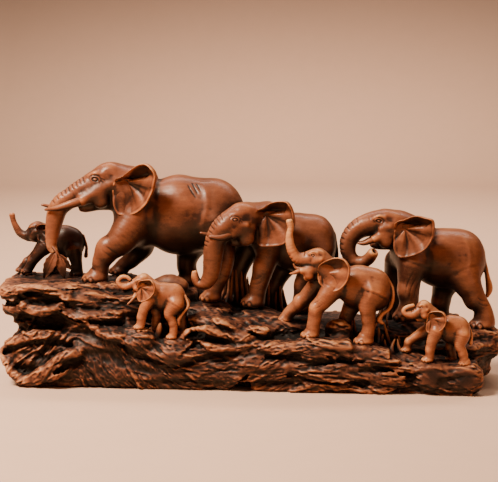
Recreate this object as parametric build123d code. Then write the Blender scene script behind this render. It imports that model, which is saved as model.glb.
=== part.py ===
from build123d import *

import math
import os

# Carved wooden herd: seven elephants on one rock-and-root base, walking towards -X.
# Millimetres, +Z up, Z = 0 on the flat underside of the base, -Y is the show side.
# Every point below is (x, y, z); a fourth value is the radius of the carving there.

EAR_THICKNESS = 2.6          # carved leaf-thin at the rim, this thick at the root
EAR_FLARE = 23.0             # degrees an ear stands away from the neck
FAR_EAR_DROP = 0.20          # a far ear hangs lower, by this share of the distance between the ears
FAR_EAR_LEAD = 0.10          # and sits further forward, by this share
FOOT_PAD_MARGIN = 2.5        # how far the carved flat under a foot reaches past the foot
ANKLE_RISE = 4.0             # height of the straight rim at the bottom of a foot
PEG_SHARE = 0.34             # peg radius as a share of the foot radius
PEG_UP = 7.0                 # how far a peg runs up into a foot
PEG_DOWN = 9.0               # how far a peg runs down into the base
LEAF_THICKNESS = 1.6
STEM_RADIUS = 1.3
PAD_DEPTH = 12.0             # height of the flat block carved under a foot
TORSO_STATIONS = 7           # ellipses that shape a torso

# Each elephant: the torso swells over three egg shapes (centre, radii), and skull, jaw and cheeks
# are round masses. Neck, trunk, tail, legs and tusks are round limbs, from root to tip.
# A leg's last point is its sole, level with the flat carved for it on the base.
HERD = {
    "bull": {
        "torso": [
            ((-96, 14, 141.5), (21.5, 24, 32)),
            ((-60.5, 15, 139.5), (36, 26, 34.5)),
            ((-33, 16, 140), (28.5, 25, 31)),
        ],
        "head": [
            (-118, 8, 171.5, 12.5),
            (-138, 3, 147.5, 5),
            (-126.5, 2, 153.5, 7),
        ],
        "neck": [(-121, 8, 169, 12.5), (-113, 9, 164, 15.5), (-101, 12, 154, 23)],
        "trunk": [
            (-124, 6, 171, 12.5), (-137.5, 2, 163, 11), (-150.5, 0, 156, 9), (-161.5, -2, 148, 8.5),
            (-166, -3, 136, 7.5), (-168, -4, 124, 6), (-168.5, -5, 114.5, 4.5), (-166.5, -6, 109.5, 3.5),
        ],
        "legs": {
            "near_fore": [
                (-97, 3, 136, 17), (-107, -6, 121.5, 13), (-119, -9, 110, 10),
                (-125, -10, 97, 7.7), (-129, -10, 85, 10.5),
            ],
            "far_fore": [
                (-96.5, 24, 125, 15.5), (-95.5, 26, 110.5, 10.5), (-102.5, 27, 100.5, 7.5),
                (-111.5, 27, 93.5, 7), (-115, 27, 86, 8),
            ],
            "near_hind": [
                (-28, 6, 131.5, 16.5), (-21.5, -4, 112, 10.5), (-21.5, -8, 97, 8.5),
                (-27, -8, 83, 7.5), (-31, -8, 69, 8.5),
            ],
            "far_hind": [
                (-40.5, 28, 126.5, 17.5), (-53.5, 28, 107, 11.5), (-56, 28, 95, 8.5), (-54.5, 28, 78, 9.5),
            ],
        },
        "tail": [(-10.5, 16, 148, 3.5), (-9, 22, 138, 2.2), (-11, 30, 124, 2), (-13, 33, 111, 2), (-14, 33, 103, 3)],
        "ears": {
            "root": (-110, -5, 159.5),
            "mid_y": 9,
            "outline": [
                (-3, 9.5), (8, 15.5), (17, 21.5), (25.5, 26), (32.5, 26), (38, 21.5), (39.5, 15),
                (36.5, 6.5), (32, -3), (25.5, -11.5), (15.5, -17.5), (1.5, -18), (-4, -8.5),
            ],
        },
        "tusks": {
            "near": [(-132, -5, 158, 4.5), (-142.5, -9, 153, 4), (-151.5, -12, 150, 3.5),
                     (-162, -12.5, 147, 2.5), (-172.5, -10, 145.5, 1)],
            "far": [(-132, 9, 158, 4.5), (-145, 13, 153, 4), (-156, 15, 148.5, 3.3),
                    (-168, 14, 145.5, 2.4), (-180, 12, 147.5, 1)],
        },
    },
    "second_adult": {
        "torso": [
            ((16, 2, 128.5), (17, 20, 24)),
            ((40.5, 6, 118), (26.5, 22, 25)),
            ((56, 8, 117), (18, 20, 24)),
        ],
        "head": [
            (-1.5, -16, 141, 13.5),
            (-9, -18, 121.5, 5),
            (-1, -19, 125.5, 8),
        ],
        "neck": [(-2, -15, 140, 12.5), (6.5, -8, 138, 15), (18, 0, 130, 19.5)],
        "trunk": [
            (-7, -20, 140.5, 10.5), (-17.5, -25, 133.5, 10.8), (-25, -26, 124.5, 9), (-27.5, -26, 115, 8.5),
            (-28.5, -26, 104.5, 8), (-30, -26, 94, 7), (-34.5, -26, 86.5, 5.5), (-40.5, -26, 86, 4),
            (-43, -26, 90.5, 3.5), (-43.5, -26, 95, 2.5),
        ],
        "legs": {
            "near_fore": [
                (19.5, -4, 124, 14.5), (16.5, -8, 109, 10.5), (13.5, -9, 97.5, 9),
                (9, -9, 83.5, 8), (7.5, -9, 75, 8), (5.5, -9, 66, 10),
            ],
            "far_fore": [(5, 13, 120, 11), (-5, 16, 104, 10), (-10.5, 16, 90, 8), (-11.5, 16, 64, 9.5)],
            "near_hind": [
                (58.5, -1, 110.5, 13.5), (51, -4, 95.5, 9.5), (47, -4, 82, 8), (44, -4, 60, 9.5),
            ],
            "far_hind": [(39, 20, 105.5, 13), (26, 21, 89.5, 9.5), (20, 21, 75.5, 8), (19.5, 21, 58, 9.5)],
        },
        "tail": [(71, 8, 124, 2.5), (74, 8, 111, 1.5), (74, 8, 97, 1.5), (73, 8, 88.5, 2.5)],
        "ears": {
            "root": (12, -20, 134),
            "mid_y": -6,
            "outline": [
                (-3, 12), (4.5, 16.5), (11, 20.5), (19.5, 22.5), (27, 21.5), (31, 14), (31.5, 5),
                (28, -4.5), (22.5, -13.5), (9.5, -16.5), (-2, -15.5), (-4, -2),
            ],
        },
        "tusks": {
            "near": [(-3.5, -26.5, 131, 4), (-13, -31.5, 128.5, 3.6), (-21, -34, 126, 3), (-30, -35, 126.5, 1.5)],
            "far": [(-10, -12, 131, 3.8), (-22, -12.5, 127.5, 3.3), (-31, -14.5, 125.5, 2.5),
                    (-39.5, -16, 127.5, 1)],
        },
    },
    "juvenile": {
        "torso": [
            ((75, -34, 91.5), (11.5, 13, 13.5)),
            ((93, -34, 86.5), (19, 14.5, 17.5)),
            ((105.5, -34, 83.5), (15, 13.5, 18)),
        ],
        "head": [
            (60, -36, 108, 10),
            (53, -36, 94, 3.5),
            (52.5, -37.5, 98.5, 5.5),
        ],
        "neck": [(60, -36, 106, 9), (65, -36, 102.5, 10), (73.5, -35, 95.5, 11.5)],
        "trunk": [
            (57, -37, 109, 8.5), (47, -38, 108.5, 6), (41, -39, 111.5, 4.5), (37, -40, 119.5, 4),
            (36, -40, 128.5, 3), (37, -40, 135, 2.6), (36, -40, 140, 2.8),
        ],
        "legs": {
            "near_fore": [
                (72, -40, 85.5, 10), (65.5, -43, 77, 7.5), (59, -44, 68.5, 6), (56.5, -44, 58, 5.6),
                (54.5, -44, 45, 7.5),
            ],
            "far_fore": [
                (62.5, -28, 90.5, 9), (53.5, -26, 80, 7), (45, -25, 71, 6), (37, -24, 63.5, 5.4),
                (32, -24, 54, 6.2),
            ],
            "near_hind": [
                (104.5, -40, 82, 13), (100.5, -43, 71.5, 8), (101.5, -43, 61, 5.6), (101, -43, 51, 5.6),
                (98.5, -43, 40, 8),
            ],
            "far_hind": [(96, -26, 79.5, 11), (87.5, -25, 68.5, 7.5), (83, -24, 57, 6), (82, -24, 44, 7)],
        },
        "tail": [
            (113.5, -36, 96, 2), (120, -37, 86.5, 1.5), (121, -38, 76, 1.5), (118, -39, 68.5, 1.3),
            (112.5, -40, 64.5, 2), (109.5, -41, 60, 2.4),
        ],
        "ears": {
            "root": (63.5, -43, 97),
            "mid_y": -35,
            "outline": [
                (-1.5, 8), (6, 13), (13.5, 15.5), (20.5, 14.5), (25, 9), (24.5, 1), (20.5, -7),
                (13.5, -12.5), (5.5, -13), (-1.5, -7.5), (-3.5, -1),
            ],
        },
        "tusks": {
            "near": [(54, -42, 101, 2.2), (44.5, -44, 100, 2), (40.5, -44, 98.5, 1.5), (36.5, -43, 97.5, 0.6)],
            "far": [(54, -32, 101, 2.2), (46, -29.5, 99.8, 1.8), (41, -28.5, 100.5, 1.2), (39, -28.5, 103.5, 0.6)],
        },
    },
    "third_adult": {
        "torso": [
            ((138, 14, 112.5), (18.5, 22, 24)),
            ((164, 16, 104), (27.5, 24, 25.5)),
            ((179, 17, 103), (22, 22, 25.5)),
        ],
        "head": [
            (121, 6, 132, 13.5),
            (109, 3, 119, 5),
            (116, 4, 122, 8),
        ],
        "neck": [(120, 6, 132, 12.5), (127.5, 8, 130, 15), (139.5, 12, 119.5, 19.5)],
        "trunk": [
            (114, 5, 135, 12), (100, 3, 133, 9.8), (90.5, 2, 128.5, 8.5), (84.5, 1, 120, 7.5),
            (84, 0, 110.5, 6.6), (88.5, -1, 103.5, 5.8), (95.5, -3, 102, 5.5), (101, -5, 105, 5.3),
            (104.5, -8, 110, 5.3),
        ],
        "legs": {
            "near_fore": [
                (139.5, 2, 102, 15), (136, 0, 90.5, 10.5), (135.5, -1, 78.5, 9), (135.5, -1, 67, 8.5),
                (134, -1, 53, 10.5),
            ],
            "far_fore": [(127, 26, 98.5, 12), (124.5, 28, 84.5, 9.5), (124, 28, 70.5, 8), (122.5, 28, 50, 9.5)],
            "near_hind": [
                (180, 6, 93.5, 16), (185, 2, 83, 11.5), (191, 2, 72.5, 9), (197.5, 3, 63, 8),
                (199, 4, 46.5, 10.5),
            ],
            "far_hind": [(171.5, 28, 86.5, 14), (166, 29, 74, 10), (164.5, 29, 63.5, 8.5), (163.5, 29, 50, 9.5)],
        },
        "tail": [(193, 17, 113.5, 3), (199.5, 17, 100.5, 2), (202.5, 17, 88.5, 2), (204.5, 17, 78, 3),
                 (203, 17, 71.5, 2)],
        "ears": {
            "root": (126.5, -6, 123),
            "mid_y": 7,
            "outline": [
                (-2, 12.5), (7, 17), (16, 20.5), (24.5, 19.5), (32, 17), (32, 6), (28.5, -2.5),
                (22.5, -9.5), (12, -14.5), (1, -15.5), (-4, -7),
            ],
        },
        "tusks": {
            "near": [(114, -4, 125.5, 3.4), (104, -8, 121.5, 2.6), (97.5, -9, 119, 2), (92.5, -9, 119, 1)],
            "far": [(113, 11, 124, 3.4), (103, 13.5, 119.5, 2.6), (96, 14, 116.5, 2), (90, 13, 117.5, 1)],
        },
    },
    "calf_left": {
        "torso": [
            ((-174.5, 21, 116.5), (9.5, 9, 11.5)),
            ((-162, 22, 116), (14.5, 10.5, 13)),
            ((-154.5, 22, 113), (9.5, 9.5, 12.5)),
        ],
        "head": [
            (-186, 20, 124, 8.5),
            (-192.5, 19.5, 117.5, 3),
        ],
        "neck": [(-186, 20, 123.5, 7.5), (-182, 20, 122.5, 8.2), (-175, 21, 119, 9.5)],
        "trunk": [
            (-187.5, 19.5, 122, 7), (-195.5, 18, 120, 4.2), (-201, 18, 122.5, 3.5), (-204.5, 18, 128, 3),
            (-206.5, 18, 133, 2.6), (-207.5, 18, 137.5, 2.8),
        ],
        "legs": {
            "near_fore": [(-178, 16, 111, 7.5), (-183.5, 14, 105, 5.5), (-189, 14, 98, 4.6), (-194, 14, 88, 5)],
            "far_fore": [(-182, 27, 109.5, 7), (-189, 28, 102, 5), (-197, 28, 95, 4.2), (-202, 28, 87, 4.8)],
            "near_hind": [(-153.5, 16, 108, 8), (-151.5, 15, 99.5, 5.5), (-150.5, 15, 86, 6)],
            "far_hind": [(-164, 27, 106.5, 7), (-169, 28, 98, 5), (-170.5, 28, 86, 5.5)],
        },
        "tail": [(-146.5, 22, 119.5, 1.6), (-143.5, 22, 110.5, 1.2), (-144, 22, 102, 1.9)],
        "ears": {
            "root": (-182, 13, 123.5),
            "mid_y": 20,
            "outline": [(-1.5, 5), (5.5, 8), (10.5, 6.5), (11.5, 0.5), (8, -6.5), (3, -8.5), (-2, -4.5)],
        },
        "tusks": {},
    },
    "calf_middle": {
        "torso": [
            ((-77.5, -42, 80), (7.5, 8, 10)),
            ((-67.5, -42, 77.5), (11.5, 9, 11.5)),
            ((-59, -42, 76), (9.5, 8.5, 12.5)),
        ],
        "head": [
            (-84, -42, 89.5, 7.5),
            (-90, -42.5, 83, 3),
        ],
        "neck": [(-84, -42, 88.5, 6.5), (-81.5, -42, 86.5, 7.2), (-77, -42, 82.5, 8.5)],
        "trunk": [
            (-86, -43, 90, 6), (-94, -45, 87, 3.4), (-99.5, -46, 86, 2.8), (-104, -46, 88, 2.4),
            (-105, -46, 91.5, 2.1), (-102, -46, 94.5, 2), (-97.5, -46, 94, 1.8),
        ],
        "legs": {
            "near_fore": [(-79, -47, 74.5, 6), (-83, -49, 68, 4.6), (-85, -49, 61.5, 4), (-87, -49, 52, 4.6)],
            "far_fore": [(-76, -37, 72.5, 6), (-74.5, -36, 63.5, 4.4), (-76, -36, 47, 4.4)],
            "near_hind": [(-57.5, -47, 72, 8), (-62, -49, 64, 5), (-59, -49, 56.5, 4), (-60, -49, 44, 4.6)],
            "far_hind": [(-52.5, -36, 71, 6.5), (-53.5, -35, 62.5, 4.2), (-53, -35, 45, 4.4)],
        },
        "tail": [(-50, -44, 78, 1.2), (-47, -46, 70.5, 1.1), (-51.5, -48, 64, 1.1), (-55, -49, 59, 1.6)],
        "ears": {
            "root": (-85.5, -49, 84.5),
            "mid_y": -42,
            "outline": [(-1, 6), (6, 8.5), (11.5, 8.5), (14.5, 3.5), (13, -2.5), (7.5, -8), (0, -10.5), (-3.5, -5)],
        },
        "tusks": {"near": [(-89.5, -44, 81, 1.3), (-92, -48.5, 76.5, 1.1), (-96.5, -51, 72, 0.6)]},
    },
    "calf_right": {
        "torso": [
            ((157, -44, 57.5), (7.5, 8, 9.5)),
            ((168, -44, 53.5), (10.5, 9, 11.5)),
            ((175, -44, 52), (9, 8.5, 12)),
        ],
        "head": [
            (146.5, -44, 70.5, 7),
            (143.5, -44, 62, 3),
        ],
        "neck": [(147, -44, 69, 6), (151, -44, 66, 6.7), (156.5, -44, 60.5, 7.5)],
        "trunk": [
            (146, -44.5, 70, 6), (141.5, -46, 67.5, 4.6), (136.5, -47, 65.5, 3.5), (131.5, -47, 66.5, 2.6),
            (130.5, -47, 70, 2.2), (134, -47, 72.5, 2.1), (138.5, -47, 73.5, 1.8),
        ],
        "legs": {
            "near_fore": [(156.5, -49, 52, 6.5), (153, -50, 44, 4.6), (151.5, -50, 37, 3.8), (150, -50, 28, 4.8)],
            "far_fore": [(152.5, -38, 52, 6), (142, -37, 46.5, 4.2), (135, -37, 41, 3.6), (133, -37, 33, 4.2)],
            "near_hind": [(177.5, -49, 49.5, 6.5), (175.5, -50, 41, 4.6), (178, -50, 34.5, 3.8), (180, -50, 25.5, 4.8)],
            "far_hind": [(172, -38, 46.5, 6), (169, -37, 38, 4.2), (170, -37, 26, 4.6)],
        },
        "tail": [(182, -44, 57, 1.3), (185, -44, 49.5, 1.1), (184.5, -44, 42, 1.6)],
        "ears": {
            "root": (151.5, -50, 62.5),
            "mid_y": -44,
            "outline": [(-1, 5), (5, 7.5), (11, 7), (14, 3), (13, -4), (9, -9), (3, -11.5), (-3, -10), (-3, -2.5)],
        },
        "tusks": {},
    },
}

# The plinth is the level sole of the base, one carving with the ledges above it.
PLINTH_HEIGHT = 12.0
PLINTH_CORNERS = [
    (-182, -38), (-150, -50), (-60, -57), (30, -57.6), (120, -58), (188, -57), (194, -30),
    (200, 5), (202, 40), (150, 52), (20, 55), (-100, 54), (-170, 46), (-184, 5),
]

# Rock ledges of the base from the plinth up: (underside, top, corners seen from above).
# The left end overhangs a recess, and the front steps down towards the right.
LEDGES = [
    (12, 25, [(-203, -44), (-178, -54), (-90, -57), (40, -57), (188, -56), (192, -25), (207, 0),
              (208, 42), (150, 54), (20, 57), (-100, 56), (-180, 48), (-193, 0)]),
    (25, 38, [(-208, -36), (-195, -50), (-150, -54), (-20, -56), (118, -57), (124, -26), (192, -24),
              (212, -6), (212, 40), (150, 54), (20, 56), (-100, 56), (-184, 48), (-194, 0)]),
    (38, 44, [(-196, -36), (-170, -52), (-90, -56), (-70, -40), (-40, -50), (30, -56), (86, -57),
              (90, -14), (184, -14), (210, -4), (209, 38), (150, 53), (20, 56), (-100, 55),
              (-186, 46), (-194, 0)]),
    (44, 50, [(-194, -30), (-150, -50), (-96, -54), (-88, -30), (-40, -28), (-30, -48), (20, -40),
              (44, -14), (182, -12), (182, 48), (20, 55), (-100, 55), (-186, 44), (-193, 0)]),
    (50, 58, [(-197, -26), (-150, -44), (-98, -46), (-88, -28), (-40, -26), (-30, -42), (16, -34),
              (24, -10), (10, 40), (-60, 52), (-186, 44), (-197, 0)]),
    (58, 64, [(-206, -30), (-150, -46), (-100, -42), (-88, -25), (-40, -22), (-26, -34), (-14, -20), (-6, 38),
              (-60, 50), (-190, 44), (-206, 0)]),
    (64, 77, [(-210, -30), (-196, -44), (-150, -48), (-104, -40), (-60, -22), (-44, 8), (-44, 40),
              (-100, 50), (-190, 46), (-210, 36), (-211, 10)]),
    (77, 84, [(-212, -20), (-190, -38), (-150, -38), (-104, -26), (-96, 0), (-100, 42), (-190, 45),
              (-211, 36), (-212, 10)]),
]

# The leaf sprig in the bull's trunk: (stem end, leaf tip, half width) of each leaf.
LEAF_STEM = [(-166.5, -11, 114, STEM_RADIUS), (-163, -13, 110, STEM_RADIUS), (-160, -14, 105, STEM_RADIUS)]
LEAVES = [
    ((-163, -14.5, 110), (-173, -16, 87.5), 5.0),
    ((-160, -14, 106), (-155.5, -15, 87.5), 4.0),
    ((-161.5, -13.5, 108), (-150, -12.5, 95), 3.5),
]


def as_vector(point):
    return Vector(point[0], point[1], point[2])


def torso(eggs):
    """The trunk of the body: ellipses across X that follow the outline of the eggs."""
    front = min(centre[0] - radii[0] for centre, radii in eggs)
    back = max(centre[0] + radii[0] for centre, radii in eggs)
    sections = []
    for station in range(TORSO_STATIONS):
        turn = math.pi * (station + 0.35) / (TORSO_STATIONS - 0.3)
        x = (front + back) / 2 - (back - front) / 2 * math.cos(turn)
        spans = []
        for centre, radii in eggs:
            offset = (x - centre[0]) / radii[0]
            if abs(offset) < 1:
                share = math.sqrt(1 - offset**2)
                half_width, half_height = radii[1] * share, radii[2] * share
                spans.append((centre[1] - half_width, centre[1] + half_width,
                              centre[2] - half_height, centre[2] + half_height))
        near = min(span[0] for span in spans)
        far = max(span[1] for span in spans)
        low = min(span[2] for span in spans)
        high = max(span[3] for span in spans)
        plane = Plane(origin=(x, (near + far) / 2, (low + high) / 2), x_dir=(0, 1, 0), z_dir=(1, 0, 0))
        sections.append(plane * Ellipse((far - near) / 2, (high - low) / 2))
    return loft(sections)


def limb(points):
    """A smooth round limb with its sections square to its path."""
    sections = []
    last = len(points) - 1
    for index, point in enumerate(points):
        before = as_vector(points[max(index - 1, 0)])
        after = as_vector(points[min(index + 1, last)])
        direction = (after - before).normalized()
        across = Vector(0, 1, 0).cross(direction)
        plane = Plane(origin=as_vector(point), x_dir=across.normalized(), z_dir=direction)
        sections.append(plane * Circle(point[3]))
    return loft(sections)


def leg(points):
    """A leg with level sections, so that its foot ends in a short rim and a level sole."""
    x, y, sole, radius = points[-1]
    stations = [*points[:-1], (x, y, sole + ANKLE_RISE, radius), points[-1]]
    return loft([Plane(origin=as_vector(point)) * Circle(point[3]) for point in reversed(stations)])


def body(spec):
    """One elephant's single carving: torso, head, trunk, tail and four legs."""
    pieces = [limb(spec["neck"]), limb(spec["trunk"]), limb(spec["tail"])]
    pieces += [leg(points) for points in spec["legs"].values()]
    pieces += [Pos(x, y, z) * Sphere(radius) for x, y, z, radius in spec["head"]]
    return torso(spec["torso"]) + pieces


def largest(shape):
    """The carving without the chips that a socket may cut loose."""
    return max(shape.solids(), key=lambda solid: solid.volume)


def ear(spec, side):
    """A thin flared plate; side is -1 on the show side and +1 on the far side."""
    x, y, z = spec["root"]
    if side > 0:
        spread = 2 * (spec["mid_y"] - y)
        x, y, z = x - FAR_EAR_LEAD * spread, y + spread, z - FAR_EAR_DROP * spread
    flare = math.radians(EAR_FLARE)
    back = Vector(math.cos(flare), side * math.sin(flare), 0)
    plane = Plane(origin=(x, y, z), x_dir=back, z_dir=back.cross(Vector(0, 0, 1)))
    rim = Spline(*[(u, v) for u, v in spec["outline"]], periodic=True)
    return extrude(plane * make_face(rim), amount=EAR_THICKNESS / 2, both=True)


def leaf(stem_end, tip, half_width):
    """A pointed leaf, flat and facing the show side."""
    start = as_vector(stem_end)
    end = as_vector(tip)
    along = end - start
    length = along.length
    plane = Plane(origin=start, x_dir=along.normalized(), z_dir=Vector(0, -1, 0).cross(along).cross(along))
    edge = Spline((0, 0), (0.45 * length, half_width), (length, 0))
    face = make_face([edge, mirror(edge, about=Plane.XZ)])
    return extrude(plane * face, amount=LEAF_THICKNESS / 2, both=True)


def rock_ledge(underside, top, corners):
    face = make_face(Polyline(*corners, close=True))
    return Pos(0, 0, underside) * extrude(face, amount=top - underside)


def foot_pegs(spec):
    """Four glued pegs, one up the middle of each foot."""
    pegs = []
    for points in spec["legs"].values():
        x, y, sole, radius = points[-1]
        length = PEG_UP + PEG_DOWN
        middle = sole + (PEG_UP - PEG_DOWN) / 2
        pegs.append(Pos(x, y, middle) * Cylinder(PEG_SHARE * radius, length))
    return Compound(children=pegs)


def base_block():
    """All the ledges, with a level flat under every foot."""
    block = None
    for underside, top, corners in LEDGES:
        ledge = rock_ledge(underside, top, corners)
        block = ledge if block is None else block + ledge
    for spec in HERD.values():
        for points in spec["legs"].values():
            x, y, sole, radius = points[-1]
            block += Pos(x, y, sole - PAD_DEPTH / 2) * Cylinder(radius + FOOT_PAD_MARGIN, PAD_DEPTH)
    return block


def write(name, shape):
    export_step(shape, f"parts/{name}.step")


os.makedirs("parts", exist_ok=True)

base = base_block()
for name, spec in HERD.items():
    carving = body(spec)
    pegs = foot_pegs(spec)
    carving -= pegs
    base -= pegs
    for side, label in ((-1, "near"), (1, "far")):
        plate = ear(spec["ears"], side)
        carving -= plate
        write(f"{name}_ear_{label}", plate)
    for label, points in spec["tusks"].items():
        tusk = limb(points)
        carving -= tusk
        write(f"{name}_tusk_{label}", tusk)
    write(f"{name}_foot_pegs", pegs)
    write(f"{name}_body", largest(carving))

sprig = limb(LEAF_STEM)
for stem_end, tip, half_width in LEAVES:
    sprig += leaf(stem_end, tip, half_width)
write("leaf_sprig", sprig)
write("base_block", base)
write("base_plinth", rock_ledge(0, PLINTH_HEIGHT, PLINTH_CORNERS))
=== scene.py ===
import math

import bmesh
import bpy
import numpy as np
import openvdb as vdb
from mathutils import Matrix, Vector


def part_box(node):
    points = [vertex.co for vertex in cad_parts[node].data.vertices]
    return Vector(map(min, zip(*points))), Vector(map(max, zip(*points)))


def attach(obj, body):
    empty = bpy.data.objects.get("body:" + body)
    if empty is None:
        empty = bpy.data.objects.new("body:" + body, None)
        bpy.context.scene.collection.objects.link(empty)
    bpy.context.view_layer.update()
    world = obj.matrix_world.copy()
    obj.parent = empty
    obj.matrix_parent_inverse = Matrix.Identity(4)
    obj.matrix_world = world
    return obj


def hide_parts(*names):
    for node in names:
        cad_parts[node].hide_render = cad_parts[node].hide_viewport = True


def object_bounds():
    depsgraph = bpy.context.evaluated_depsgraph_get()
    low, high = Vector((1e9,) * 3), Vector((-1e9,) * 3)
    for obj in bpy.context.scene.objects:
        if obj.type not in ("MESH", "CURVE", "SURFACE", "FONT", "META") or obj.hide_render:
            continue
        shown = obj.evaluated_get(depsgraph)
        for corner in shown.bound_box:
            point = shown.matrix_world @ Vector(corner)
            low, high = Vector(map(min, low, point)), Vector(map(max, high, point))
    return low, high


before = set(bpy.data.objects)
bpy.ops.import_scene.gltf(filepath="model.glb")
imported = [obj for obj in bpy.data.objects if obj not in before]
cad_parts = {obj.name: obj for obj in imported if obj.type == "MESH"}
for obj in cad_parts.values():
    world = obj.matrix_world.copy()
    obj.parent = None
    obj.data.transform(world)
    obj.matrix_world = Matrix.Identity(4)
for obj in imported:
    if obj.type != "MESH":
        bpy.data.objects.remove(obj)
cad_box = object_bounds()

# The carving is worked in millimetres in the frame's own axes (+X along the base, -Y the show
# side, +Z up) and handed to Blender in metres.
MM = 0.001
FAR = 30.0                       # distance written where nothing has been carved yet
FINE = 1.0


def in_mm(corners):
    return [np.array(corner, float) / MM for corner in corners]


# ----------------------------------------------------------------------------------------------
# Clay: a block of voxels holding the distance to the carved surface, negative inside.
# ----------------------------------------------------------------------------------------------


class Clay:
    def __init__(self, low, high, step):
        self.low = np.array(low, float)
        self.step = step
        shape = np.ceil((np.array(high, float) - self.low) / step).astype(int) + 1
        self.field = np.full(shape, FAR, np.float32)

    def window(self, low, high):
        """Slices of the voxels between two corners, and their x, y and z as open arrays."""
        first = np.clip(np.floor((low - self.low) / self.step).astype(int), 0, self.field.shape)
        last = np.clip(np.ceil((high - self.low) / self.step).astype(int) + 1, 0, self.field.shape)
        axes = [self.low[i] + self.step * np.arange(first[i], last[i]) for i in range(3)]
        x = axes[0].astype(np.float32)[:, None, None]
        y = axes[1].astype(np.float32)[None, :, None]
        z = axes[2].astype(np.float32)[None, None, :]
        return tuple(slice(a, b) for a, b in zip(first, last)), x, y, z

    def add(self, shape, blend, sign=1):
        """Joins a shape on, with a fillet about as wide as blend."""
        low, high, distance = shape
        reach = blend + 4 * self.step + 1.0
        part, x, y, z = self.window(low - reach, high + reach)
        if self.field[part].size:
            self.field[part] = sign * smooth_min(sign * self.field[part], distance(x, y, z), blend)

    def cut(self, shape, blend):
        """Carves a shape away, with an edge rounded by about blend."""
        self.add(shape, blend, sign=-1)

    def emboss(self, low, high, height):
        """Raises the surface by height(x, y, z) millimetres, or sinks it where that is negative."""
        part, x, y, z = self.window(np.array(low, float), np.array(high, float))
        if self.field[part].size:
            self.field[part] -= height(x, y, z)

    def trim(self, low, high):
        """Cuts a square block away."""
        part, x, y, z = self.window(np.array(low, float), np.array(high, float))
        self.field[part] = np.maximum(self.field[part], high[2] - z + 0 * x + 0 * y)

    def roughen(self, cell, height, seed):
        """Lumps about as long as cell, along each axis, all over the surface."""
        self.field += height * lattice_noise(self.field.shape, self.step, cell, seed)


def smooth_min(a, b, blend):
    """The lower of two distances, with a fillet where they are nearly the same."""
    share = np.clip(0.5 + 0.5 * (b - a) / blend, 0, 1)
    return b + (a - b) * share - blend * share * (1 - share)


def turned(x, y, z, centre, turn):
    """Coordinates about centre, turned back by turn degrees: (pitch about Y, yaw about Z)."""
    x, y, z = x - centre[0], y - centre[1], z - centre[2]
    pitch, yaw = math.radians(turn[0]), math.radians(turn[1])
    x, y = x * math.cos(yaw) + y * math.sin(yaw), y * math.cos(yaw) - x * math.sin(yaw)
    x, z = x * math.cos(pitch) - z * math.sin(pitch), z * math.cos(pitch) + x * math.sin(pitch)
    return x, y, z


def egg(centre, radii, turn=(0, 0)):
    """An ellipsoid."""
    reach = max(radii) if turn != (0, 0) else np.array(radii, float)
    centre = np.array(centre, float)

    def distance(x, y, z):
        x, y, z = turned(x, y, z, centre, turn)
        unit = np.sqrt((x / radii[0])**2 + (y / radii[1])**2 + (z / radii[2])**2)
        slope = np.sqrt((x / radii[0]**2)**2 + (y / radii[1]**2)**2 + (z / radii[2]**2)**2)
        return unit * (unit - 1) / np.maximum(slope, 1e-4)

    return centre - reach, centre + reach, distance


def curve_through(points, parts=6):
    """A smooth run through points; extra columns, such as a radius, are carried along."""
    points = np.array(points, float)
    padded = np.vstack([2 * points[0] - points[1], points, 2 * points[-1] - points[-2]])
    run = []
    for i in range(1, len(padded) - 2):
        p0, p1, p2, p3 = padded[i - 1:i + 3]
        for t in np.arange(parts) / parts:
            run.append(0.5 * (2 * p1 + (p2 - p0) * t + (2 * p0 - 5 * p1 + 4 * p2 - p3) * t**2
                              + (3 * p1 - p0 - 3 * p2 + p3) * t**3))
    run.append(points[-1])
    run = np.array(run)
    if run.shape[1] > 3:
        run[:, 3] = np.maximum(run[:, 3], points[:, 3].min() * 0.8)
    return run


def limb(points, parts=6, relief=None, flatten=1.0):
    """A round limb through (x, y, z, radius) points.

    relief(distance along the limb) gives how far the surface stands proud there; flatten widens
    the limb along Y.
    """
    run = curve_through(points, parts)
    reach = run[:, 3].max() * max(flatten, 1.0) + 1.0
    low, high = run[:, :3].min(axis=0) - reach, run[:, :3].max(axis=0) + reach

    def distance(x, y, z):
        best = None
        travelled = 0.0
        for a, b in zip(run[:-1], run[1:]):
            step = b[:3] - a[:3]
            length = float(np.linalg.norm(step))
            if length < 1e-6:
                continue
            px, py, pz = x - a[0], (y - a[1]) / flatten, z - a[2]
            along = (px * step[0] + py * step[1] / flatten + pz * step[2])
            along = np.clip(along / (step[0]**2 + (step[1] / flatten)**2 + step[2]**2), 0, 1)
            gap = np.sqrt((px - along * step[0])**2 + (py - along * step[1] / flatten)**2
                          + (pz - along * step[2])**2)
            here = gap - (a[3] + along * (b[3] - a[3]))
            if relief is not None:
                here = here - relief(travelled + along * length)
            best = here if best is None else np.minimum(best, here)
            travelled += length
        return best

    return low, high, distance


def rings(spacing, depth, start=0.0):
    """Relief for a wrinkled limb: shallow grooves every few millimetres, from start onwards."""
    def relief(along):
        wave = np.abs(np.sin(math.pi * along / spacing + 0.8 * np.sin(along / spacing)))
        return -depth * (1 - wave)**3 * np.clip((along - start) / spacing, 0, 1)
    return relief


def rounded_slab(corners, bottom, top, edge):
    """A rock slab: a polygon seen from above, between two heights, with rounded edges."""
    corners = np.array(corners, float)
    low = np.array([*corners.min(axis=0), bottom]) - 1.0
    high = np.array([*corners.max(axis=0), top]) + 1.0

    def distance(x, y, z):
        flat = polygon_distance(corners, x[:, :, 0], y[:, :, 0])[:, :, None] + edge
        tall = np.abs(z - (bottom + top) / 2) - (top - bottom) / 2 + edge
        outside = np.sqrt(np.maximum(flat, 0)**2 + np.maximum(tall, 0)**2)
        return np.minimum(np.maximum(flat, tall), 0) + outside - edge

    return low, high, distance


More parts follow.
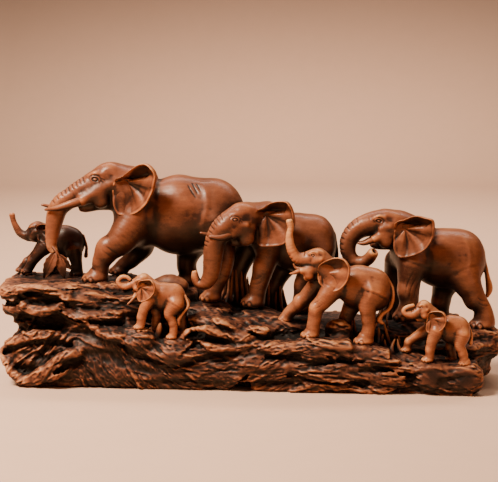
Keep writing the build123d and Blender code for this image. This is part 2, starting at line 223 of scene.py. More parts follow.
def polygon_distance(corners, x, y):
    """Distance in plan to a polygon, negative inside."""
    x, y = np.broadcast_arrays(x, y)
    best = np.full(x.shape, np.inf, np.float32)
    inside = np.zeros(x.shape, bool)
    for a, b in zip(corners, np.roll(corners, -1, axis=0)):
        ex, ey = b - a
        px, py = x - a[0], y - a[1]
        along = np.clip((px * ex + py * ey) / (ex * ex + ey * ey), 0, 1)
        best = np.minimum(best, (px - along * ex)**2 + (py - along * ey)**2)
        crosses = (a[1] > y) != (b[1] > y)
        if ey != 0:
            inside ^= crosses & (px < ex * py / ey)
    return np.sqrt(best) * np.where(inside, -1, 1)


def lattice_noise(shape, step, cell, seed):
    """Smooth noise from -1 to 1 on a voxel block; cell is the size of its lumps, per axis."""
    rng = np.random.default_rng(seed)
    cell = np.broadcast_to(np.array(cell, float), 3)
    weights = []
    counts = []
    for i in range(3):
        place = (step * np.arange(shape[i])) / cell[i] + 0.5
        base = np.floor(place).astype(int)
        share = place - base
        share = share * share * (3 - 2 * share)
        count = base.max() + 2
        matrix = np.zeros((shape[i], count), np.float32)
        rows = np.arange(shape[i])
        matrix[rows, base] = 1 - share
        matrix[rows, base + 1] = share
        weights.append(matrix)
        counts.append(count)
    values = rng.uniform(-1, 1, counts).astype(np.float32)
    values = np.tensordot(weights[0], values, (1, 0))
    values = np.tensordot(values, weights[1], (1, 1)).transpose(0, 2, 1)
    return np.tensordot(values, weights[2], (2, 1))


# ----------------------------------------------------------------------------------------------
# The herd. The same stances as the CAD bodies, in millimetres; a fourth value is a radius.
#   size     how big the details are, against the bull's
#   step     voxel size; keep is the share of the faces that the mesh keeps
#   stain_and_shade  darker where above 0, for the left calf partly painted shade; more worn where below
#   notches  first and last distance along the trunk, and how many cuts lie between
#   marks    folds, ribs and wrinkles: points (x, z), width, height, and the depths (y) between
#            which the line is drawn
#   mid_y    the plane that the eye and the cheek are mirrored over; an ear has its own
#   hub      where the folds of an ear start, in the ear's own u and v, like its outline
# ----------------------------------------------------------------------------------------------

HERD = {
    "bull": {
        "size": 1.0, "step": 0.62, "keep": 0.42, "stain_and_shade": 0.0, "notches": (17, 46, 9), "hub": (7, 10),
        "marks": [
            ([(-52.5, 167), (-48.5, 161), (-44.5, 156)], 0.8, -1.5, -30, 2),
            ([(-49.5, 169), (-46, 163.5), (-42.5, 158.5)], 0.8, -1.4, -30, 2),
            ([(-47, 170.5), (-44, 166), (-40.5, 161)], 0.7, -1.2, -30, 2),
            ([(-43, 170), (-37, 163), (-35, 151), (-38, 136), (-41, 121)], 3.6, 2.0, -30, 5),
            ([(-50, 160), (-45, 150), (-46, 136), (-50, 122)], 4.0, -1.3, -30, 5),
            ([(-84, 158), (-86.5, 143), (-84, 126)], 2.6, -1.9, -30, 5),
            ([(-80, 156), (-82, 142), (-79, 128)], 3.0, 0.9, -30, 5),
            ([(-121, 117), (-114, 112), (-109, 108)], 1.0, -0.9, -30, 5),
            ([(-124, 113), (-117, 108.5), (-113, 104)], 1.0, -0.7, -30, 5),
        ],
        "torso": [((-96, 14, 141.5), (21.5, 24, 32)), ((-60.5, 15, 139.5), (36, 26, 34.5)),
                  ((-33, 16, 140), (28.5, 25, 31))],
        "skull": ((-118, 8, 171.5), (13, 13, 12.5)),
        "mid_y": 6,
        "eye": (-130, -5.5, 171),
        "cheek": ((-126, -4.5, 153.5), (7, 5.5, 7.2)),
        "jaw": [(-116, 9, 154, 10), (-130, 5, 150, 6.5), (-139, 3, 147, 5), (-143, 3, 145.5, 3.2)],
        "neck": [(-121, 8, 170, 12.5), (-112, 9, 167, 15.8), (-100, 12, 158.5, 22.5)],
        "trunk": [
            (-122, 6, 171, 12.5), (-137.5, 2, 163, 11), (-150.5, 0, 156, 9), (-161.5, -2, 148, 8.5),
            (-166, -3, 136, 7.5), (-168, -4, 124, 6), (-168.5, -5, 114.5, 4.6), (-166.5, -6, 110, 3.8),
        ],
        "legs": {
            "near_fore": [
                (-98, 1, 136, 16), (-107, -6, 121.5, 13), (-118.5, -9, 111.5, 10),
                (-124.5, -10, 102, 8), (-126, -10, 94, 7.6), (-128.5, -10, 88, 9), (-129, -10, 84, 9.8),
            ],
            "far_fore": [
                (-96.5, 24, 125, 15), (-95.5, 26, 110.5, 10.5), (-102.5, 27, 100.5, 7.5),
                (-111.5, 27, 93.5, 6.8), (-115, 27, 86, 7.6),
            ],
            "near_hind": [
                (-28, 4, 131.5, 16.5), (-21.5, -4, 112, 10.5), (-21.5, -8, 97, 8.2),
                (-27, -8, 83, 7.2), (-31, -8, 69, 8.5),
            ],
            "far_hind": [
                (-40.5, 28, 126.5, 16), (-53.5, 28, 107, 11), (-56, 28, 95, 8.2), (-54.5, 28, 84, 8.2),
                (-54.5, 28, 78, 9.2),
            ],
        },
        "tail": [(-10.5, 16, 148, 3.5), (-9, 22, 138, 2.2), (-11, 30, 124, 2), (-13, 33, 111, 2),
                 (-14, 33, 103, 3)],
        "ear": {
            "root": (-110, -5, 159.5), "mid_y": 9,
            "outline": [
                (-3, 9.5), (8, 15.5), (17, 21.5), (25.5, 26), (32.5, 26), (38, 21.5), (39.5, 15),
                (36.5, 6.5), (32, -3), (25.5, -11.5), (15.5, -17.5), (1.5, -18), (-4, -8.5),
            ],
        },
        "tusks": {
            "near": [(-132, -5, 158, 4.5), (-142.5, -9, 153, 4), (-151.5, -12, 150, 3.5),
                     (-162, -12.5, 147, 2.5), (-172.5, -10, 145.5, 1)],
            "far": [(-132, 9, 158, 4.5), (-145, 13, 153, 4), (-156, 15, 148.5, 3.3),
                    (-168, 14, 145.5, 2.4), (-180, 12, 147.5, 1)],
        },
    },
    "second_adult": {
        "size": 0.8, "step": 0.55, "keep": 0.42, "stain_and_shade": 0.04, "notches": (12, 34, 8), "hub": (4, 9),
        "marks": [
            ([(44, 134), (48, 122), (46, 108)], 3.2, 1.3, -34, 0),
            ([(37, 132), (40, 120), (38, 106)], 3.4, -1.2, -34, 0),
            ([(22, 138), (24, 126), (23, 114)], 2.2, -1.4, -34, 0),
            ([(12, 92), (8, 89), (3, 88)], 0.8, -0.6, -34, 0),
            ([(13, 87), (8, 84.5), (3, 84)], 0.8, -0.6, -34, 0),
        ],
        "torso": [((16, 2, 128.5), (17, 20, 24)), ((40.5, 6, 118), (26.5, 22, 25)),
                  ((56, 8, 117), (18, 20, 24))],
        "skull": ((-1.5, -16, 141), (13.5, 13, 11.5)),
        "mid_y": -19,
        "eye": (-9, -30.5, 140.5),
        "cheek": ((-0.5, -26, 125.5), (7, 5, 7.5)),
        "jaw": [(6, -12, 128, 9), (-4, -17, 123, 6.5), (-11, -19, 121, 4.2)],
        "neck": [(-2, -15, 140, 12), (6.5, -8, 138, 15), (18, 0, 130, 19.5)],
        "trunk": [
            (-6, -20, 141.5, 11.5), (-17.5, -25, 133.5, 11), (-25, -26.5, 124.5, 9), (-27.5, -27, 115, 8.5),
            (-28.5, -27, 104.5, 8), (-30, -27, 94, 7), (-34.5, -26.5, 86.5, 5.5), (-40.5, -26, 86, 4),
            (-43, -26, 90.5, 3.4), (-43.5, -26, 95, 2.6),
        ],
        "legs": {
            "near_fore": [
                (19.5, -4, 124, 13.5), (16.5, -8, 109, 10.5), (13.5, -9, 97.5, 8.8),
                (9, -9, 83.5, 7.6), (7.5, -9, 75, 7.4), (5.5, -9, 69, 8.6), (5, -9, 65, 9.2),
            ],
            "far_fore": [(4, 13, 118, 11), (-5, 16, 104, 9.6), (-10.5, 16, 90, 8), (-11, 16, 74, 7.6),
                         (-11.5, 16, 64, 9)],
            "near_hind": [
                (58.5, -1, 110.5, 13.5), (51, -4, 95.5, 9.5), (47, -4, 82, 7.8), (45, -4, 70, 7.6),
                (44, -4, 60, 9),
            ],
            "far_hind": [(39, 20, 105.5, 12), (26, 21, 89.5, 9), (20, 21, 75.5, 7.6), (19.5, 21, 58, 9)],
        },
        "tail": [(71, 8, 124, 2.5), (74, 8, 111, 1.6), (74, 8, 97, 1.5), (73, 8, 88.5, 2.4)],
        "ear": {
            "root": (12, -20, 134), "mid_y": -6,
            "outline": [
                (-3, 12), (4.5, 16.5), (11, 20.5), (19.5, 22.5), (27, 21.5), (31, 14), (31.5, 5),
                (28, -4.5), (22.5, -13.5), (9.5, -16.5), (-2, -15.5), (-4, -2),
            ],
        },
        "tusks": {
            "near": [(-3.5, -26.5, 131, 4), (-13, -31.5, 128.5, 3.6), (-21, -34, 126, 3),
                     (-30, -35, 126.5, 1.5)],
            "far": [(-10, -12, 131, 3.8), (-22, -12.5, 127.5, 3.3), (-31, -14.5, 125.5, 2.5),
                    (-39.5, -16, 127.5, 1)],
        },
    },
    "juvenile": {
        "size": 0.55, "step": 0.42, "keep": 0.5, "stain_and_shade": -0.30, "notches": (9, 20, 5), "hub": (-1, 1),
        "marks": [
            ([(95, 100), (101, 94), (103, 85), (100, 76)], 2.4, 1.1, -62, -34),
            ([(90, 98), (95, 90), (96, 82), (93, 75)], 2.6, -1.1, -62, -34),
            ([(80, 99), (82, 91), (80, 82)], 1.6, -0.9, -62, -34),
            ([(62, 78), (58, 75), (54, 74)], 0.6, -0.6, -62, -34),
            ([(64, 74), (60, 71), (56, 70)], 0.6, -0.5, -62, -34),
        ],
        "torso": [((75, -34, 91.5), (11.5, 13, 13.5)), ((93, -34, 86.5), (19, 14.5, 17.5)),
                  ((105.5, -34, 83.5), (15, 13.5, 18))],
        "skull": ((60, -36, 108), (9.5, 9.2, 9.5)),
        "mid_y": -37,
        "eye": (55.5, -44.5, 113),
        "cheek": ((52, -42, 98.5), (5, 4, 5.6)),
        "jaw": [(62, -36, 99, 6), (55, -36, 95, 4.4), (50.5, -36.5, 93.5, 2.8)],
        "neck": [(60, -36, 106, 9), (65, -36, 102.5, 10), (73.5, -35, 95.5, 11.5)],
        "trunk": [
            (57, -37, 109, 8.5), (47, -38, 108.5, 6), (41, -39, 111.5, 4.6), (37, -40, 119.5, 3.8),
            (36, -40, 128.5, 3), (37, -40, 135, 2.6), (36, -40, 140, 2.8),
        ],
        "legs": {
            "near_fore": [
                (72, -40, 85.5, 9.5), (65.5, -43, 77, 7.4), (59, -44, 68.5, 6), (56.5, -44, 58, 5.4),
                (55.5, -44, 50, 5.8), (54.5, -44, 45, 7),
            ],
            "far_fore": [
                (62.5, -28, 90.5, 9), (53.5, -26, 80, 7), (45, -25, 71, 6), (37, -24, 63.5, 5.2),
                (32, -24, 54, 6),
            ],
            "near_hind": [
                (104.5, -40, 82, 12), (100.5, -43, 71.5, 8), (101.5, -43, 61, 5.6), (101, -43, 51, 5.4),
                (99.5, -43, 45, 6.2), (98.5, -43, 40, 7.6),
            ],
            "far_hind": [(96, -26, 79.5, 11), (87.5, -25, 68.5, 7.5), (83, -24, 57, 6), (82, -24, 44, 7)],
        },
        "tail": [
            (113.5, -36, 96, 2), (120, -37, 86.5, 1.5), (121, -38, 76, 1.4), (118, -39, 68.5, 1.3),
            (112.5, -40, 64.5, 1.8), (109.5, -41, 60, 2.4), (112.5, -41, 57, 1.2),
        ],
        "ear": {
            "root": (63.5, -43, 97), "mid_y": -35,
            "outline": [
                (-1.5, 8), (6, 13), (13.5, 15.5), (20.5, 14.5), (25, 9), (24.5, 1), (20.5, -7),
                (13.5, -12.5), (5.5, -13), (-1.5, -7.5), (-3.5, -1),
            ],
        },
        "tusks": {
            "near": [(54, -42, 101, 2.2), (44.5, -44, 100, 2), (40.5, -44, 98.5, 1.5),
                     (36.5, -43, 97.5, 0.6)],
            "far": [(54, -32, 101, 2.2), (46, -29.5, 99.8, 1.8), (41, -28.5, 100.5, 1.2),
                    (39, -28.5, 103.5, 0.6)],
        },
    },
    "third_adult": {
        "size": 0.8, "step": 0.55, "keep": 0.42, "stain_and_shade": 0.0, "notches": (20, 50, 9), "hub": (5, 8),
        "marks": [
            ([(177, 127), (184, 118), (186, 106), (184, 95)], 3.2, 1.6, -34, 4),
            ([(170, 124), (176, 114), (177, 102), (174, 90)], 3.4, -1.3, -34, 4),
            ([(150, 128), (151, 116), (149, 102)], 2.4, -1.7, -34, 6),
            ([(139, 96), (134, 86), (132, 76)], 0.8, -0.9, -34, 6),
            ([(142, 92), (137, 82), (135, 72)], 0.8, -0.8, -34, 6),
            ([(146, 92), (141, 81), (139, 72)], 0.8, -0.7, -34, 6),
            ([(192, 74), (196, 71), (201, 70)], 0.9, -0.8, -34, 6),
            ([(193, 69), (198, 66.5), (203, 66)], 0.9, -0.7, -34, 6),
        ],
        "torso": [((138, 14, 112.5), (18.5, 22, 24)), ((164, 16, 104), (27.5, 24, 25.5)),
                  ((179, 17, 103), (22, 22, 25.5))],
        "skull": ((121, 6, 132), (13.5, 13, 12.5)),
        "mid_y": 4,
        "eye": (109.5, -7, 137.5),
        "cheek": ((115, -5, 121), (6, 4.5, 6.5)),
        "jaw": [(126, 8, 121, 10), (116, 5, 119, 7), (109, 3, 117.5, 5), (105, 2, 117, 3)],
        "neck": [(120, 6, 132, 12.5), (127.5, 8, 130, 15), (139.5, 12, 119.5, 19.5)],
        "trunk": [
            (114, 5, 135, 12), (100, 3, 133, 9.8), (90.5, 2, 128.5, 8.5), (84.5, 1, 120, 7.5),
            (84, 0, 110.5, 6.6), (88.5, -1, 103.5, 5.8), (95.5, -3, 102, 5.5), (101, -5, 105, 5.2),
            (104.5, -8, 110, 4.6),
        ],
        "legs": {
            "near_fore": [
                (139.5, 2, 102, 14), (136, 0, 90.5, 10.5), (135.5, -1, 78.5, 9), (135.5, -1, 67, 8.2),
                (134, -1, 58, 9), (134, -1, 53, 9.6),
            ],
            "far_fore": [(127, 26, 98.5, 12), (124.5, 28, 84.5, 9.5), (124, 28, 70.5, 8), (122.5, 28, 50, 9)],
            "near_hind": [
                (180, 6, 93.5, 15.5), (185, 2, 83, 11.5), (191, 2, 72.5, 9), (197.5, 3, 63, 7.6),
                (199.5, 4, 53, 9), (199, 4, 46, 9.8),
            ],
            "far_hind": [(171.5, 28, 86.5, 13), (166, 29, 74, 9.5), (164.5, 29, 63.5, 8), (163.5, 29, 50, 9)],
        },
        "tail": [(193, 17, 113.5, 3), (199.5, 17, 100.5, 2), (202.5, 17, 88.5, 2), (204.5, 17, 78, 3),
                 (203, 17, 71.5, 1.6)],
        "ear": {
            "root": (126.5, -6, 123), "mid_y": 7,
            "outline": [
                (-2, 12.5), (7, 17), (16, 20.5), (24.5, 19.5), (32, 17), (32, 6), (28.5, -2.5),
                (22.5, -9.5), (12, -14.5), (1, -15.5), (-4, -7),
            ],
        },
        "tusks": {
            "near": [(114, -4, 125.5, 3.4), (104, -8, 121.5, 2.6), (97.5, -9, 119, 2), (92.5, -9, 119, 1)],
            "far": [(113, 11, 124, 3.4), (103, 13.5, 119.5, 2.6), (96, 14, 116.5, 2), (90, 13, 117.5, 1)],
        },
    },
    # The left calf's stain is partly painted shade, for the shadow of the bull's trunk over it.
    "calf_left": {
        "size": 0.4, "step": 0.34, "keep": 0.5, "stain_and_shade": 0.42, "notches": (7, 12, 3), "hub": (0, 1),
        "torso": [((-174.5, 21, 116.5), (9.5, 9, 11.5)), ((-162, 22, 116), (14.5, 10.5, 13)),
                  ((-154.5, 22, 113), (9.5, 9.5, 12.5))],
        "skull": ((-186, 20, 124), (8.5, 7.6, 7.8)),
        "mid_y": 19.5,
        "eye": (-189.5, 13, 126.5),
        "cheek": ((-188.5, 14.5, 119.5), (3.6, 3, 3.8)),
        "jaw": [(-183, 20, 118, 5), (-190, 20, 117.5, 3.2), (-194, 19, 117, 2)],
        "neck": [(-186, 20, 123.5, 7.5), (-182, 20, 122.5, 8.2), (-175, 21, 119, 9.5)],
        "trunk": [
            (-187.5, 19.5, 122, 7), (-195.5, 18, 120, 4.2), (-201, 18, 122.5, 3.4), (-204.5, 18, 128, 2.8),
            (-206.5, 18, 133, 2.4), (-207.5, 18, 137.5, 2.6),
        ],
        "legs": {
            "near_fore": [(-178, 16, 111, 7.2), (-183.5, 14, 105, 5.2), (-189, 14, 98, 4.3),
                          (-193, 14, 91.5, 4), (-194, 14, 88, 4.6)],
            "far_fore": [(-182, 27, 109.5, 7), (-189, 28, 102, 5), (-197, 28, 95, 4), (-202, 28, 87, 4.6)],
            "near_hind": [(-153.5, 16, 108, 7.6), (-151.5, 15, 99.5, 5.4), (-150.5, 15, 92, 4.8),
                          (-150.5, 15, 86, 5.6)],
            "far_hind": [(-164, 27, 106.5, 7), (-169, 28, 98, 5), (-170.5, 28, 86, 5.2)],
        },
        "tail": [(-146.5, 22, 119.5, 1.6), (-143.5, 22, 110.5, 1.2), (-144, 22, 102, 1.9)],
        "ear": {
            "root": (-182, 13, 123.5), "mid_y": 20,
            "outline": [(-1.5, 5), (5.5, 8), (10.5, 6.5), (11.5, 0.5), (8, -6.5), (3, -8.5), (-2, -4.5)],
        },
        "tusks": {},
    },
    "calf_middle": {
        "size": 0.38, "step": 0.3, "keep": 0.55, "stain_and_shade": -0.34, "notches": (7, 12, 3), "hub": (0, 1),
        "torso": [((-77.5, -42, 80), (7.5, 8, 10)), ((-67.5, -42, 77.5), (11.5, 9, 11.5)),
                  ((-59, -42, 76), (9.5, 8.5, 12.5))],
        "skull": ((-84, -42, 89.5), (7, 7, 6.6)),
        "mid_y": -43.5,
        "eye": (-88, -48.6, 90),
        "cheek": ((-89.5, -47.5, 85), (2.8, 2.4, 2.9)),
        "jaw": [(-82, -42, 84, 4.4), (-88, -42.5, 83, 3), (-91.5, -43, 82, 1.8)],
        "neck": [(-84, -42, 88.5, 6.5), (-81.5, -42, 86.5, 7.2), (-77, -42, 82.5, 8.5)],
        "trunk": [
            (-86, -43, 90, 5.6), (-94, -45, 87.3, 3.4), (-99.5, -46, 86, 2.7), (-103.7, -46, 87.8, 2.3),
            (-104.6, -46, 91, 2), (-102, -46, 93.8, 1.9), (-98, -46, 93.8, 1.7), (-95.4, -46, 91.9, 1.5),
        ],
        "legs": {
            "near_fore": [(-79, -47, 74.5, 5.6), (-83, -49, 68, 4.4), (-85, -49, 61.5, 3.8),
                          (-86, -49, 55.5, 3.6), (-87, -49, 51.5, 4.2)],
            "far_fore": [(-76, -37, 72.5, 5.6), (-74.5, -36, 63.5, 4.2), (-76, -36, 47, 4.2)],
            "near_hind": [(-57.5, -47, 72, 7.4), (-62, -49, 64, 4.8), (-59, -49, 56.5, 3.6),
                          (-59, -49, 48.5, 3.5), (-60, -49, 43.5, 4.2)],
            "far_hind": [(-52.5, -36, 71, 6.2), (-53.5, -35, 62.5, 4.2), (-53, -35, 52, 3.5),
                         (-53, -35, 45, 4.2)],
        },
        "tail": [(-50, -44, 78, 1.4), (-47, -46, 70.5, 1.1), (-51.5, -48, 64, 1), (-55, -49, 59, 1.7),
                 (-54.5, -49, 55, 0.9)],
        "ear": {
            "root": (-85.5, -49, 84.5), "mid_y": -42,
            "outline": [(-1, 6), (6, 8.5), (11.5, 8.5), (14.5, 3.5), (13, -2.5), (7.5, -8), (0, -10.5),
                        (-3.5, -5)],
        },
        "tusks": {"near": [(-89.5, -44, 81, 1.3), (-92, -48.5, 76.5, 1.1), (-96.5, -51, 72, 0.6)]},
    },
    "calf_right": {
        "size": 0.38, "step": 0.3, "keep": 0.55, "stain_and_shade": -0.30, "notches": (6, 11, 3), "hub": (0, 0),
        "torso": [((157, -44, 57.5), (7.5, 8, 9.5)), ((168, -44, 53.5), (10.5, 9, 11.5)),
                  ((175, -44, 52), (9, 8.5, 12))],
        "skull": ((146.5, -44, 70.5), (6.4, 6.6, 6.2)),
        "mid_y": -45,
        "eye": (144, -50.3, 72),
        "cheek": ((146.5, -49.5, 65.5), (3, 2.4, 3.2)),
        "jaw": [(150, -44, 63.5, 4.4), (145, -44, 62, 3), (141.5, -44.5, 61.5, 1.9)],
        "neck": [(147, -44, 69, 6), (151, -44, 66, 6.7), (156.5, -44, 60.5, 7.5)],
        "trunk": [
            (146, -44.5, 70, 6), (141.5, -46, 67.5, 4.6), (136.5, -47, 65.5, 3.5), (131.5, -47, 66.2, 2.5),
            (130, -47, 69, 2.1), (132.8, -47, 71.6, 1.9), (137.2, -47, 72.9, 1.7),
        ],
        "legs": {
            "near_fore": [(156.5, -49, 52, 6.2), (153, -50, 44, 4.6), (151.5, -50, 37, 3.8),
                          (151, -50, 31.5, 3.8), (150, -50, 27.5, 4.5)],
            "far_fore": [(152.5, -38, 52, 6), (142, -37, 46.5, 4.2), (135, -37, 41, 3.6),
                         (133, -37, 33, 4.2)],
            "near_hind": [(177.5, -49, 49.5, 6.3), (175.5, -50, 41, 4.6), (178, -50, 34.5, 3.7),
                          (179, -50, 29, 3.8), (180, -50, 25, 4.5)],
            "far_hind": [(172, -38, 46.5, 6), (169, -37, 38, 4.2), (170, -37, 26, 4.4)],
        },
        "tail": [(182, -44, 57, 1.3), (185, -44, 49.5, 1.1), (184.5, -44, 42, 1.7)],
        "ear": {
            "root": (151.5, -50, 62.5), "mid_y": -44,
            "outline": [(-1, 5), (5, 7.5), (11, 7), (14, 3), (13, -4), (9, -9), (3, -11.5), (-3, -10),
                        (-3, -2.5)],
        },
        "tusks": {},
    },
}

# ----------------------------------------------------------------------------------------------
# Relief cut into the near or far face of a carving.
# ----------------------------------------------------------------------------------------------


def lines(points, width, height):
    """Height of a ridge, or a groove where height is negative, along a line seen from the side."""
    points = [np.array(p, float) for p in points]

    def relief(x, y, z):
        best = None
        for i, (a, b) in enumerate(zip(points[:-1], points[1:])):
            step = b - a
            px, pz = x - a[0], z - a[1]
            along = np.clip((px * step[0] + pz * step[1]) / (step @ step), 0, 1)
            gap = (px - along * step[0])**2 + (pz - along * step[1])**2
            share = (i + along) / (len(points) - 1)
            strength = np.sqrt(np.clip(4 * share * (1 - share), 0.02, 1))
            here = np.exp(-gap / width**2) * strength
            best = here if best is None else np.maximum(best, here)
        return height * best + 0 * y

    xs, zs = [p[0] for p in points], [p[1] for p in points]
    return (min(xs), min(zs)), (max(xs), max(zs)), relief


def draw_lines(clay, points, width, height, near, far):
    """Cuts or raises a line on whatever surface lies between two depths."""
    low, high, relief = lines(curve_flat(points), width, height)
    reach = 2.6 * width
    clay.emboss((low[0] - reach, near, low[1] - reach), (high[0] + reach, far, high[1] + reach), relief)


FLAT_PARTS = 5                   # how many parts each span of a flat line is cut into


def curve_flat(points):
    """A smooth run through flat points."""
    flat = [(p[0], 0.0, p[1]) for p in points]
    return [(p[0], p[2]) for p in curve_through(flat, FLAT_PARTS)]


def eye_relief(centre, size):
    """An almond eye: a ball, two lids, and wrinkles that spread from it."""
    def relief(x, y, z):
        across = (x - centre[0] + 0.25 * (z - centre[2])) / (1.5 * size)
        up = (z - centre[2]) / size
        lid = np.where(up > 0, 0.95, 1.25)
        gap = np.sqrt(across**2 + (up * lid)**2 + 0 * y)
        turn = np.arctan2(up, across)
        above = np.clip(0.55 + 0.45 * np.sin(turn), 0.1, 1.0)
        # The ball, the groove round it, the lids, the crease outside them, then the wrinkles.
        height = 0.65 * np.clip(1 - (gap / 1.35)**2, 0, 1)
        height = height - 0.62 * np.exp(-((gap - 1.6) / 0.38)**2)
        height = height + 0.55 * above * np.exp(-((gap - 2.4) / 0.55)**2)
        height = height - 0.34 * above * np.exp(-((gap - 3.5) / 0.45)**2)
        spread = np.exp(-((gap - 4.4) / 1.3)**2) * np.clip(0.75 + 0.5 * np.cos(turn - 0.6), 0, 1)
        height = height + 0.11 * spread * np.sin(turn * 9 + 2.2 * np.sin(2 * turn + 1) + 1.9 * gap)
        return height * size
    return relief


# ----------------------------------------------------------------------------------------------
# One elephant
# ----------------------------------------------------------------------------------------------

def mirrored(point, mid_y):
    return (point[0], 2 * mid_y - point[1], *point[2:])


def body_reach(spec):
    """Lowest and highest corner round a whole body."""
    spots = []
    for centre, radii in [*spec["torso"], spec["skull"]]:
        spots += [np.subtract(centre, radii), np.add(centre, radii)]
    for points in [spec["neck"], spec["trunk"], spec["tail"], spec["jaw"], *spec["legs"].values()]:
        for x, y, z, radius in points:
            spots += [np.array((x, y, z)) - radius, np.array((x, y, z)) + radius]
    return np.min(spots, axis=0) - 5, np.max(spots, axis=0) + 5


MARK_WIDTH = 0.7                 # how wide and how deep the marks are worked, against the table
MARK_STRENGTH = 0.36
FOLD_STRENGTH = 0.16
SKIN_GRAIN = [((11, 11, 9), 0.32, 3), ((3.4, 3.4, 3), 0.10, 7)]    # lump size, height, seed


def sculpt_body(spec):
    size = spec["size"]
    low, high = body_reach(spec)
    clay = Clay(low, high, spec["step"] * FINE)
    for centre, radii in spec["torso"]:
        clay.add(egg(centre, radii), 7 * size)
    for points in spec["legs"].values():
        sculpt_leg(clay, points, size)
    clay.add(limb(spec["neck"]), 6 * size)
    sculpt_head(clay, spec)
    clay.add(limb(spec["tail"]), 2 * size)
    for points, width, height, near, far in spec.get("marks", []):
        soft_fold = width > 1.5 and height < 0
        strength = FOLD_STRENGTH if soft_fold else MARK_STRENGTH
        draw_lines(clay, points, MARK_WIDTH * width, strength * height, near, far)
    for cell, height, seed in SKIN_GRAIN:
        clay.roughen(np.array(cell) * size, height * size, seed)
    keep_inside(clay)
    return clay


NAIL_TURNS = (-80, -44, -8, 30)  # where the toenails stand, in degrees from straight ahead


def sculpt_leg(clay, points, size):
    """A wrinkled leg with a flared foot, a flat sole and toenails at the front."""
    x, y, sole, radius = points[-1]
    ankle = (x + 0.05 * radius, y, sole + 0.62 * radius, radius * 0.84)
    clay.add(limb([*points[:-1], ankle], relief=rings(2.9 * size, 0.20 * size, 30 * size)), 6 * size)
    clay.add(egg((x - 0.2 * radius, y, sole + 0.3 * radius), (1.1 * radius, 1.0 * radius, 0.58 * radius)),
             3.0 * size)
    clay.trim((x - 1.6 * radius, y - 1.6 * radius, sole - 1.5 * radius),
              (x + 1.6 * radius, y + 1.6 * radius, sole - 0.4))
    for turn in NAIL_TURNS:
        side, ahead = math.sin(math.radians(turn)), math.cos(math.radians(turn))
        nail = (x - (0.2 + 0.95 * ahead) * radius, y + 0.86 * side * radius, sole + 0.15 * radius)
        clay.add(egg(nail, (0.13 * radius, 0.17 * radius, 0.19 * radius)), 0.9 * size)
        clay.emboss(np.subtract(nail, 0.5 * radius), np.add(nail, 0.5 * radius), nail_groove(nail, radius))
    knee = points[min(2, len(points) - 2)]
    clay.add(egg((knee[0] - 0.25 * knee[3], knee[1] - 0.1 * knee[3], knee[2]),
                 (0.85 * knee[3], 0.95 * knee[3], 1.15 * knee[3])), 3.0 * size)


def nail_groove(nail, radius):
    """A fine groove round the top of a toenail."""
    def relief(x, y, z):
        gap = np.sqrt((x - nail[0])**2 + (y - nail[1])**2 + ((z - nail[2]) / 1.3)**2) / radius
        return -0.05 * radius * np.exp(-((gap - 0.27) / 0.06)**2) * (z > nail[2] - 0.1 * radius)
    return relief


def notches(clay, points, size, start, stop, count):
    """Short cuts across the front of a trunk, like a carver's marks, between two distances along it."""
    run = curve_through(points, 10)
    travelled = np.concatenate([[0], np.cumsum(np.linalg.norm(np.diff(run[:, :3], axis=0), axis=1))])
    for place in np.linspace(start, stop, count):
        centre = np.array([np.interp(place, travelled, run[:, i]) for i in range(4)])
        ahead = np.array([np.interp(place + 1, travelled, run[:, i]) for i in range(3)]) - centre[:3]
        out = np.array((-ahead[2], 0.0, ahead[0]))
        out *= -np.sign(out[0] - 0.3 * out[2]) / np.linalg.norm(out)
        arc = []
        for turn in np.radians((-58, -38, -18, 2, 22)):
            outward = math.cos(turn) * out + math.sin(turn) * np.array((0, 1, 0))
            spot = centre[:3] + centre[3] * 1.02 * outward
            arc.append((*spot, (0.40 + 0.35 * math.cos(2 * turn + 0.6)) * size))
        clay.cut(limb(arc, parts=2), 0.6 * size)


